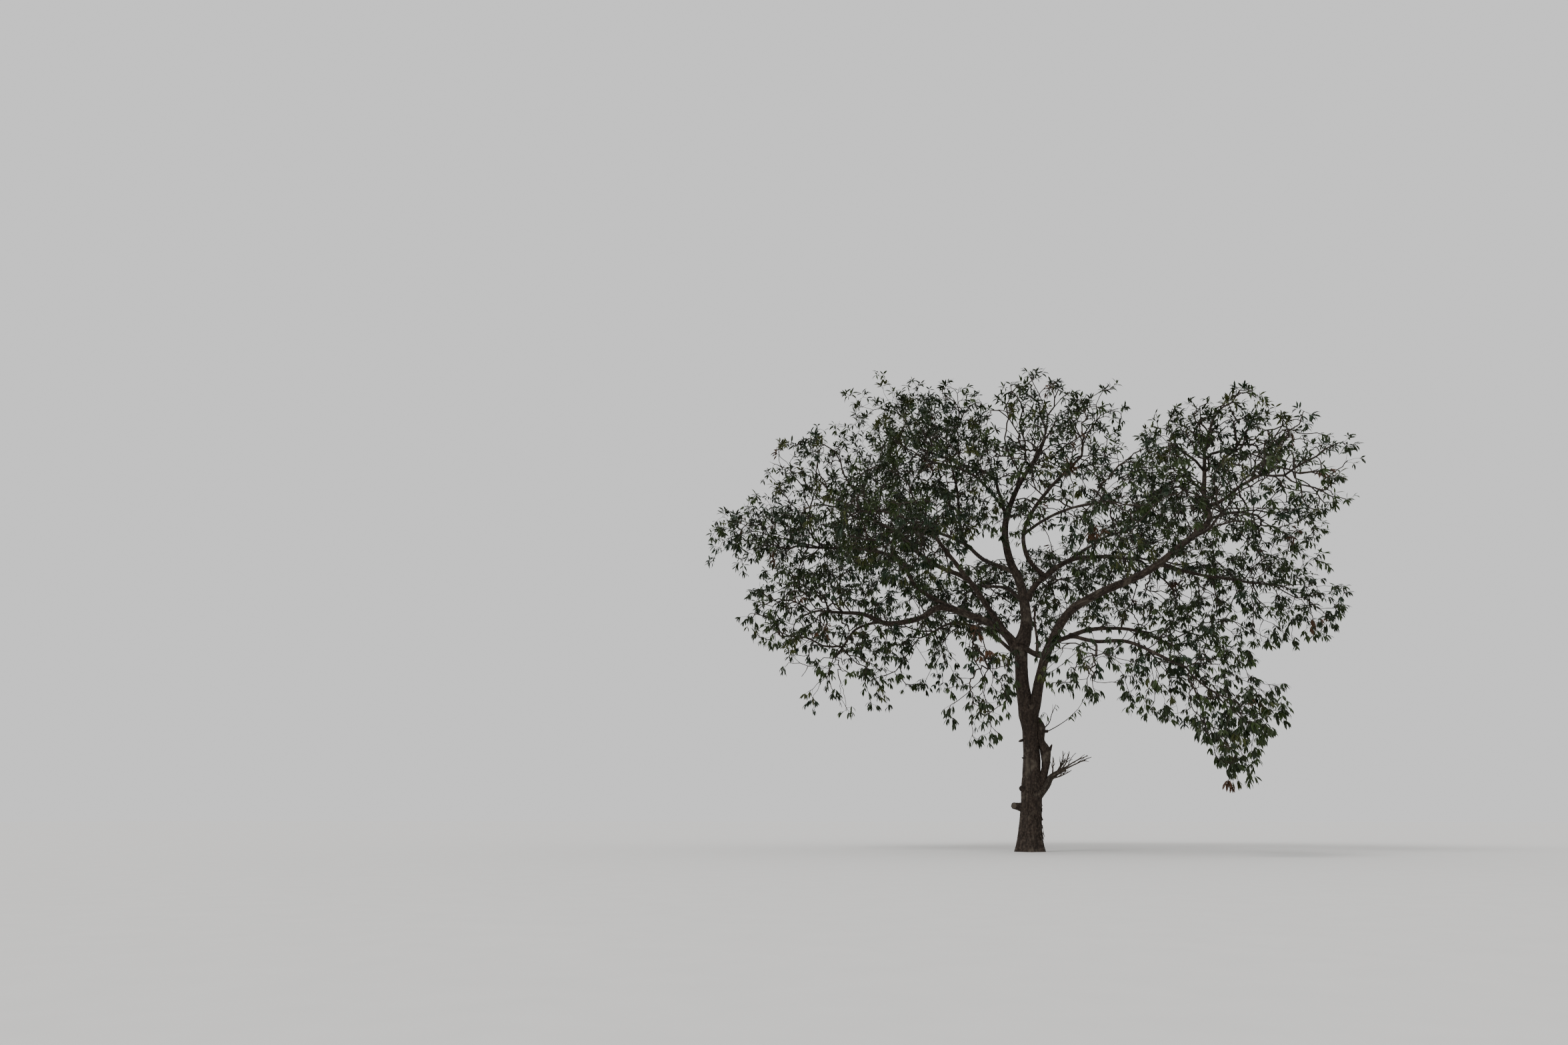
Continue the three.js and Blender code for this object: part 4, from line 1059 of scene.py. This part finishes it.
# Its spurs: where each starts and ends, and its radius at both ends
SPURS = [
    ((0.425, -0.05, 1.88), (0.545, -0.06, 2.05), (0.062, 0.012)),
    ((0.36, -0.04, 2.33), (0.485, -0.06, 2.31), (0.04, 0.03)),
]
SPUR_BEND = (0.01, 0, -0.01)
SPUR_RELIEF = {"step": 0.01, "relief": 2.5, "wander": 0}
SPUR_SIDES = 20
SPUR_SEED = 75
# Live shoots on it: the radius of each at both ends, how much of it is leafy and the points that it passes
LIVE_SHOOTS = [
    (0.013, 0.006, 0.1, [(0.38, -0.06, 2.34), (0.52, -0.08, 2.48), (0.57, -0.09, 2.62), (0.67, -0.1, 2.83)]),
    (0.006, 0.004, 0.6, [(0.45, -0.08, 2.42), (0.5, -0.1, 2.6), (0.42, -0.12, 2.68), (0.36, -0.13, 2.56)]),
    (0.007, 0.004, 0, [(0.57, -0.09, 2.62), (0.6, -0.07, 2.72), (0.61, -0.06, 2.84)]),
    (0.012, 0.006, 0.3, [(0.44, -0.06, 2.29), (0.66, -0.08, 2.4), (0.88, -0.09, 2.54), (1.1, -0.1, 2.74)]),
    (0.006, 0.004, 0.5, [(1.1, -0.1, 2.74), (1.17, -0.12, 2.84), (1.26, -0.1, 3.02)]),
]
LIVE_SHOOT_STEPS = 12
LIVE_LEAF_STEP = 0.03  # metres between the leaves along a shoot
LIVE_SEED = 58
# Knobs: where each stands, the way it points, how far and its radius at the root
KNOBS = [
    ((0.29, -0.09, 2.84), (0.8, -0.3, 0.35), 0.1, 0.05),
    ((-0.03, -0.05, 2.14), (-0.9, -0.2, -0.3), 0.08, 0.032),
    ((-0.01, -0.06, 1.78), (-1, -0.1, 0.4), 0.06, 0.022),
    ((-0.1, -0.1, 1.2), (-1, -0.2, 0.1), 0.05, 0.06),
    ((-0.13, -0.05, 0.58), (-1, -0.2, 0.1), 0.05, 0.06),
    ((0.2, -0.08, 0.95), (1, -0.2, 0.2), 0.06, 0.04),
    ((0.22, -0.06, 0.62), (1, -0.1, -0.3), 0.06, 0.035),
]
KNOB_SINK = 0.04  # how far a knob's root lies inside the trunk
KNOB_BLUNTNESS = 0.94  # 1 for an end that is rounded off to a point
KNOB_RELIEF = {"step": 0.008, "relief": 3, "wander": 0}
KNOB_SIDES = 16
KNOB_SEED = 40
# Strips of loose bark low on the trunk
STRIPS = 44
STRIP_SEED = 57
STRIP_HEIGHTS = (0.3, 1.25)
STRIP_ANGLES = (-2.6, 0.6)  # radians round the trunk from +X, most of them towards the viewer
STRIP_LENGTH = (0.04, 0.13)
STRIP_LIFT = (0.004, 0.03)  # how far the lower end stands off
STRIP_BULGE = 0.3  # share of that by which the middle stands off
STRIP_LEAN = 0.4  # of its length, between the farthest to one side and to the other
STRIP_ROOT = 0.985  # share of the trunk's radius
STRIP_GIRTH = (0.006, 0.011, 0.004)
STRIP_SIDES = 5
# The limb that crosses the fork and the thin branch that rises from it: radius at both ends, and points
FORK_LIMBS = [
    (
        0.062, 0.058,
        [(0.02, 0.04, 4.1), (0.14, 0, 4), (0.28, -0.04, 3.9), (0.42, -0.08, 3.84), (0.55, -0.1, 3.86)],
    ),
    (0.036, 0.016, [(0.37, -0.06, 3.87), (0.39, -0.05, 4.14), (0.37, -0.02, 4.5), (0.38, 0, 4.86)]),
]
FORK_SIDES = 24
FORK_SEED = 50
DEAD_BRANCH_PATH = [
    (0.19, 0, 1.03), (0.385, -0.02, 1.26), (0.46, -0.03, 1.39),
    (0.56, -0.04, 1.47), (0.66, -0.045, 1.52), (0.78, -0.05, 1.56),
]
DEAD_BRANCH_GIRTH = (0.092, 0.028)
DEAD_BRANCH_RELIEF = {"step": 0.01, "relief": 1.8, "wander": 0.1}
DEAD_BRANCH_SEED = 81
# Its twigs: how far along it each leaves, and where it ends
DEAD_TWIGS = [
    (0.8, (0.88, 0.11, 1.8)), (0.86, (1.28, -0.15, 1.79)), (0.92, (1.23, 0.09, 1.83)),
    (0.64, (0.54, -0.17, 1.81)), (0.72, (0.745, 0.06, 1.93)), (0.78, (0.87, -0.04, 1.91)),
    (0.55, (0.88, -0.19, 1.54)),
]
DEAD_TWIG_GIRTH = (0.02, 0.007)
DEAD_TWIG_STEPS = 7
DEAD_TWIG_BEND = 0.25  # share of its length
DEAD_TWIG_WAVER = 0.012
DEAD_TWIG_SEED = 83
DEAD_SIDE_NODES = (2, 3, 4)  # of a dead twig, from which its side twigs grow
DEAD_SIDE_GIRTH = (0.01, 0.005)
DEAD_SIDE_BEND = 0.3
DEAD_SIDE_SPREAD = 0.5  # how far it turns aside, against 1 for straight on
DEAD_SIDE_REACH = 0.6  # share of what is left of the twig
STUB_ENDS = ((-0.06, -0.02, 0.83), (-0.32, -0.06, 0.88))
STUB_GIRTH = (0.078, 0.07)
STUB_SWELLING = 0.5  # at its root, as a share
STUB_STEP = 0.008
STUB_SEED = 91
STUB_SLANT = 0.75  # of the saw cut, whose side towards the viewer is the shorter
SAWN_SPAN = (-0.02, -0.005, 0.004)  # places along the stub from its end, between which the sawn face is made
SAWN_GIRTH = STUB_GIRTH[1] * 0.86
SAWN_ROUNDING = 0.12  # of its edge
SAWN_RELIEF = {"step": 0.003, "relief": 0.3}
SAWN_SEED = 92


def add_wood(build, points, radius_at, sides, seed, **manner):
    """Adds a tube of wood through the points, in the manner that wood_tube takes."""
    build.add(*wood_tube(Curve(points), radius_at, sides, seed, **manner))


def even_taper(girth):
    """A radius for wood_tube that changes evenly from one end's to the other's."""
    thick, thin = girth
    return lambda shares, _: thick + (thin - thick) * shares


def blunt(girth):
    """A radius for wood_tube that is rounded off at the end."""
    return lambda shares, _: girth * np.sqrt(1 - KNOB_BLUNTNESS * shares**3)


def cut_stem_radius(shares, _):
    return between(CUT_STEM_GIRTH, shares)


def dead_branch_radius(shares, _):
    return taper(DEAD_BRANCH_GIRTH, shares)


def stub_radius(shares, angles):
    return even_taper(STUB_GIRTH)(shares, angles) * (1 + STUB_SWELLING * (1 - shares) ** 3)


def sawn_radius(shares, _):
    return SAWN_GIRTH * (1 - SAWN_ROUNDING * shares**4)


def add_knobs(build):
    for number, (foot, way, length, girth) in enumerate(KNOBS):
        way = unit(np.array(way, dtype=float))
        foot = np.array(foot) - way * KNOB_SINK
        reach = way * (length + KNOB_SINK)
        points = [foot, foot + reach / 2, foot + reach]
        add_wood(build, points, blunt(girth), KNOB_SIDES, KNOB_SEED + number, **KNOB_RELIEF)


def add_strips(build):
    """Strips of bark that peel away from the trunk at their lower ends."""
    random = np.random.RandomState(STRIP_SEED)
    heights = random.uniform(*STRIP_HEIGHTS, STRIPS)
    angles = random.uniform(*STRIP_ANGLES, STRIPS)
    axis = np.array(TRUNK_AXIS)
    centre = np.column_stack([np.interp(heights, axis[:, 2], places) for places in axis.T])
    out = np.column_stack([np.cos(angles), np.sin(angles), np.zeros(STRIPS)])
    radius = trunk_radius(heights / axis[-1, 2], angles)[:, None]
    length = random.uniform(*STRIP_LENGTH, (STRIPS, 1))
    lift = out * random.uniform(*STRIP_LIFT, (STRIPS, 1))
    aside = np.cross(out, (0, 0, 1)) * (random.random_sample((STRIPS, 1)) - 0.5) * STRIP_LEAN
    down = (aside - (0, 0, 1)) * length
    top = centre + out * radius * STRIP_ROOT
    paths = np.stack([top, top + down / 2 + lift * STRIP_BULGE, top + down + lift], axis=1)
    build.add(*tubes(paths, np.tile(STRIP_GIRTH, (STRIPS, 1)), STRIP_SIDES))


def make_fork_limbs(look):
    build = Build()
    for number, (*girth, points) in enumerate(FORK_LIMBS):
        add_wood(build, points, even_taper(girth), FORK_SIDES, FORK_SEED + number)
    build.dress("fork_limbs_bark", look, "bark")


def make_live_shoots(bark, leaf):
    """Thin live shoots with a few leaves, on the old cut stem."""
    random = np.random.RandomState(LIVE_SEED)
    build = Build()
    corners = []
    for *girth, leafy, points in LIVE_SHOOTS:
        curve = Curve(points)
        path = curve.at(np.linspace(0, 1, LIVE_SHOOT_STEPS))
        build.add(*tubes(path[None], np.linspace(*girth, LIVE_SHOOT_STEPS)[None], MAIN_SIDES))
        count = round(curve.length * leafy / LIVE_LEAF_STEP)
        if not count:
            continue
        places = np.linspace(1 - leafy, 1, count)
        roots = curve.at(places)
        ways = leaf_directions(roots, curve.heading(places), np.arange(count) * GOLDEN_ANGLE, random)
        corners.append(leaf_corners(roots, ways, leaf_lengths(count, random), random))
    build.dress("live_shoots", bark, "bark")
    corners = np.concatenate(corners)
    dress_leaves("live_shoot_leaves", corners, [leaf], np.zeros(len(corners)))


def make_cut_stem(look):
    build = Build()
    add_wood(build, CUT_STEM_PATH, cut_stem_radius, WOUND_SIDES, CUT_STEM_SEED, **CUT_STEM_RELIEF)
    for number, (foot, tip, girth) in enumerate(SPURS):
        points = [foot, np.mean([foot, tip], axis=0) + SPUR_BEND, tip]
        add_wood(build, points, even_taper(girth), SPUR_SIDES, SPUR_SEED + number, **SPUR_RELIEF)
    build.dress("cut_stem_bark", look, "bark", "cut_stem")


def bent_path(foot, tip, bend, random):
    """Places along a dead twig that bows and wavers."""
    t = np.linspace(0, 1, DEAD_TWIG_STEPS)[:, None]
    bow = (random.random_sample(3) - 0.5) * bend * np.linalg.norm(tip - foot)
    waver = (random.random_sample((DEAD_TWIG_STEPS, 3)) - 0.5) * DEAD_TWIG_WAVER * np.sin(math.pi * t)
    return foot + (tip - foot) * t + bow * t * (1 - t) * 4 + waver


def make_dead_branch(look):
    build = Build()
    add_wood(
        build, DEAD_BRANCH_PATH, dead_branch_radius, WOUND_SIDES, DEAD_BRANCH_SEED, **DEAD_BRANCH_RELIEF
    )
    random = np.random.RandomState(DEAD_TWIG_SEED)
    curve = Curve(DEAD_BRANCH_PATH)
    paths = []
    radii = []
    for share, tip in DEAD_TWIGS:
        main = bent_path(curve.at(share)[0], np.array(tip), DEAD_TWIG_BEND, random)
        paths.append(main)
        radii.append(np.linspace(*DEAD_TWIG_GIRTH, DEAD_TWIG_STEPS))
        for foot in main[list(DEAD_SIDE_NODES)]:
            way = unit(random.random_sample(3) - 0.5) * DEAD_SIDE_SPREAD + unit(main[-1] - main[0])
            reach = np.linalg.norm(main[-1] - foot) * DEAD_SIDE_REACH
            paths.append(bent_path(foot, foot + way * reach, DEAD_SIDE_BEND, random))
            radii.append(np.linspace(*DEAD_SIDE_GIRTH, DEAD_TWIG_STEPS))
    build.add(*tubes(np.array(paths), np.array(radii), MAIN_SIDES))
    build.dress("dead_branch_wood", look, "dead_wood", "dead_branch")


def make_sawn(name, points, radius_at, seed, look, slot, *nodes, **manner):
    """A piece of the stub, with its end turned towards the viewer, as it was sawn."""
    foot, tip = (np.array(end) for end in STUB_ENDS)
    way = unit(tip - foot)
    toward = unit(np.cross(way, (0, 0, 1)))
    toward = toward if toward[1] < 0 else -toward
    vertices, faces, furrow = wood_tube(Curve(points), radius_at, WOUND_SIDES, seed, wander=0, **manner)
    share = np.clip((vertices - foot) @ way / np.linalg.norm(tip - foot), 0, 1) ** 2
    side = (vertices - foot) @ toward + STUB_GIRTH[1]
    build = Build()
    build.add(vertices - way * (side * share)[:, None] * STUB_SLANT, faces, furrow)
    build.dress(name, look, slot, *nodes)


def make_stub(bark, wood):
    """A sawn stub: a sleeve of bark, and the sawn face at its end with a rim of bark round it."""
    foot, tip = (np.array(end) for end in STUB_ENDS)
    sleeve = [foot, (foot + tip) / 2, tip]
    make_sawn("cut_stub_bark", sleeve, stub_radius, STUB_SEED, bark, "bark", "cut_stub", step=STUB_STEP)
    cap = [tip + unit(tip - foot) * place for place in SAWN_SPAN]
    make_sawn("cut_stub_face", cap, sawn_radius, SAWN_SEED, wood, "dead_wood", **SAWN_RELIEF)


# Materials

BLACK = (0, 0, 0)
PATCH_COVER = (0.75, 0.75, 0.75)  # white for patches that hide the bark fully
FURROW_PAINTED_SHADE = 0.45  # painted shade in the furrows, as a share of the dark tint
STAIN_COVER = (0.7, 0.7, 0.7)  # white for stains that hide the wood fully
STAIN_TINT = (0.035, 0.028, 0.022)
YEAR_RING_TINTS = ((0.042, 0.032, 0.023), (0.084, 0.067, 0.048))
LEAF_SHADES = (0.72, 1.35)  # of its tint, where a leaf is darker and lighter


class Look:
    """A material that is being put together from nodes."""

    def __init__(self, name):
        self.material = bpy.data.materials.new(name)
        self.material.use_nodes = True
        self.place = self.node("ShaderNodeTexCoord", "Object", {})

    def feed(self, node, inputs):
        """Gives each of a node's inputs its link or its value."""
        for name, value in inputs.items():
            if isinstance(value, bpy.types.NodeSocket):
                self.material.node_tree.links.new(value, node.inputs[name])
            else:
                node.inputs[name].default_value = value

    def node(self, kind, output, inputs, **settings):
        """An output of a new node."""
        node = self.material.node_tree.nodes.new(kind)
        for name, value in settings.items():
            setattr(node, name, value)
        self.feed(node, inputs)
        return node.outputs[output]

    def noise(self, scale, detail, distortion=0):
        inputs = {"Vector": self.place, "Scale": scale, "Detail": detail, "Distortion": distortion}
        return self.node("ShaderNodeTexNoise", "Fac", inputs)

    def ramp(self, factor, *stops):
        """Colours that follow the factor. Each stop is a place from 0 to 1 and the colour there."""
        output = self.node("ShaderNodeValToRGB", "Color", {"Fac": factor})
        elements = output.node.color_ramp.elements
        while len(elements) < len(stops):
            elements.new(0.5)
        for element, (place, colour) in zip(elements, stops):
            element.position = place
            element.color = (*colour, 1)
        return output

    def mix(self, factor, first, second):
        inputs = {"Factor": factor, "A": first, "B": (*second, 1)}
        return self.node("ShaderNodeMix", "Result", inputs, data_type="RGBA")

    def spread(self, factor, low, high):
        return self.node("ShaderNodeMapRange", "Result", {"Value": factor, "To Min": low, "To Max": high})

    def bump(self, height, strength, distance):
        inputs = {"Height": height, "Strength": strength, "Distance": distance}
        return self.node("ShaderNodeBump", "Normal", inputs)

    def finished(self, inputs):
        """The material, with these inputs for its shader."""
        self.feed(self.material.node_tree.nodes["Principled BSDF"], inputs)
        return self.material


def shaded(tint, shade):
    return tuple(part * shade for part in tint)


def bark_look(name, dark, middle, light, patch):
    """Rough bark, with painted shade that darkens its furrows, paler plates and patches of dry lichen."""
    look = Look(name)
    mottle = look.noise(scale=26, detail=8, distortion=0.4)
    colour = look.ramp(mottle, (0.3, dark), (0.52, middle), (0.72, light))
    patches = look.noise(scale=3.2, detail=5, distortion=0.8)
    colour = look.mix(look.ramp(patches, (0.55, BLACK), (0.68, PATCH_COVER)), colour, patch)
    furrow = look.node("ShaderNodeAttribute", "Fac", {}, attribute_name="furrow")
    # Painted shade: the colour is darkened where a vertex lies deep in a furrow
    colour = look.mix(look.spread(furrow, low=0, high=0.75), colour, shaded(dark, FURROW_PAINTED_SHADE))
    grain = look.noise(scale=140, detail=6, distortion=0.3)
    return look.finished({
        "Base Color": colour,
        "Roughness": look.spread(mottle, low=0.96, high=0.78),
        "Normal": look.bump(grain, strength=0.5, distance=0.004),
        "Specular IOR Level": 0.25,
    })


def sawn_look():
    """Weathered sawn wood with year rings and stains."""
    look = Look("sawn_wood")
    inputs = {0: look.place, 1: STUB_ENDS[1]}
    from_end = look.node("ShaderNodeVectorMath", "Vector", inputs, operation="SUBTRACT")
    inputs = {"Vector": from_end, "Scale": 38, "Distortion": 2.5, "Detail Scale": 1.5}
    rings = look.node("ShaderNodeTexWave", "Fac", inputs, wave_type="RINGS", rings_direction="SPHERICAL")
    colour = look.ramp(rings, *enumerate(YEAR_RING_TINTS))
    stain = look.ramp(look.noise(scale=40, detail=5), (0.45, BLACK), (0.7, STAIN_COVER))
    return look.finished({
        "Base Color": look.mix(stain, colour, STAIN_TINT),
        "Normal": look.bump(rings, strength=0.3, distance=0.002),
        "Roughness": 0.9,
    })


def leaf_look(name, tint):
    """A leathery leaf with a slight sheen, a little lighter and darker from place to place."""
    look = Look(name)
    shade = look.noise(scale=7, detail=3)
    darker, lighter = (shaded(tint, share) for share in LEAF_SHADES)
    return look.finished({
        "Base Color": look.ramp(shade, (0.3, darker), (0.7, lighter)),
        "Roughness": look.spread(shade, low=0.38, high=0.6),
        "Specular IOR Level": 0.25,
    })


# Stage

FLOOR_SIZE = 400
FLOOR_COLOUR = (0.72, 0.71, 0.69)
FLOOR_SHADE = 0.97  # of its colour, where the floor is darker
SKY_COLOUR = (0.9, 0.9, 0.9)
SKY_STRENGTH = 1
SUN_STRENGTH = 1.6
SUN_SOFTNESS = 25  # degrees across
SUN_TURN = (42, 0, -38)  # degrees


def floor_look():
    look = Look("floor")
    speckle = look.noise(scale=3, detail=3)
    return look.finished({
        "Base Color": look.ramp(speckle, (0.3, shaded(FLOOR_COLOUR, FLOOR_SHADE)), (0.7, FLOOR_COLOUR)),
        "Roughness": 0.95,
        "Specular IOR Level": 0.1,
    })


def make_floor():
    half = FLOOR_SIZE / 2
    corners = [(-half, -half, 0), (half, -half, 0), (half, half, 0), (-half, half, 0)]
    mesh_piece("floor", corners, [np.array([[0, 1, 2, 3]])], [floor_look()])


def make_light():
    world = bpy.data.worlds.new("studio")
    world.use_nodes = True
    background = world.node_tree.nodes["Background"]
    background.inputs["Color"].default_value = (*SKY_COLOUR, 1)
    background.inputs["Strength"].default_value = SKY_STRENGTH
    bpy.context.scene.world = world
    data = bpy.data.lights.new("soft_sun", "SUN")
    data.energy = SUN_STRENGTH
    data.angle = math.radians(SUN_SOFTNESS)
    sun = bpy.data.objects.new("soft_sun", data)
    sun.rotation_euler = np.radians(SUN_TURN)
    bpy.context.collection.objects.link(sun)


def make_camera():
    data = bpy.data.cameras.new("camera")
    data.lens = CAMERA_LENS
    data.sensor_width = CAMERA_SENSOR
    data.clip_end = FLOOR_SIZE * 2
    camera = bpy.data.objects.new("camera", data)
    camera.location = CAMERA_PLACE
    camera.rotation_euler = np.radians((90 + CAMERA_PITCH, 0, CAMERA_HEADING))
    bpy.context.collection.objects.link(camera)
    bpy.context.scene.camera = camera


def make_tree():
    bark, dead, twig = (bark_look(name, *tints) for name, tints in BARK_TINTS.items())
    leaves = {name: leaf_look(name, tint) for name, (tint, _) in LEAF_TINTS.items()}
    make_trunk(bark)
    make_fork_limbs(bark)
    for number, name in enumerate(BOUGHS):
        make_bough(name, BOUGH_SEED + number, bark)
    make_cut_stem(bark)
    make_live_shoots(twig, leaves["leaf_green"])
    make_dead_branch(dead)
    make_stub(bark, sawn_look())
    for region, names in REGIONS.items():
        make_region(region, names, leaves.values(), twig)


make_camera()
make_light()
make_floor()
make_tree()
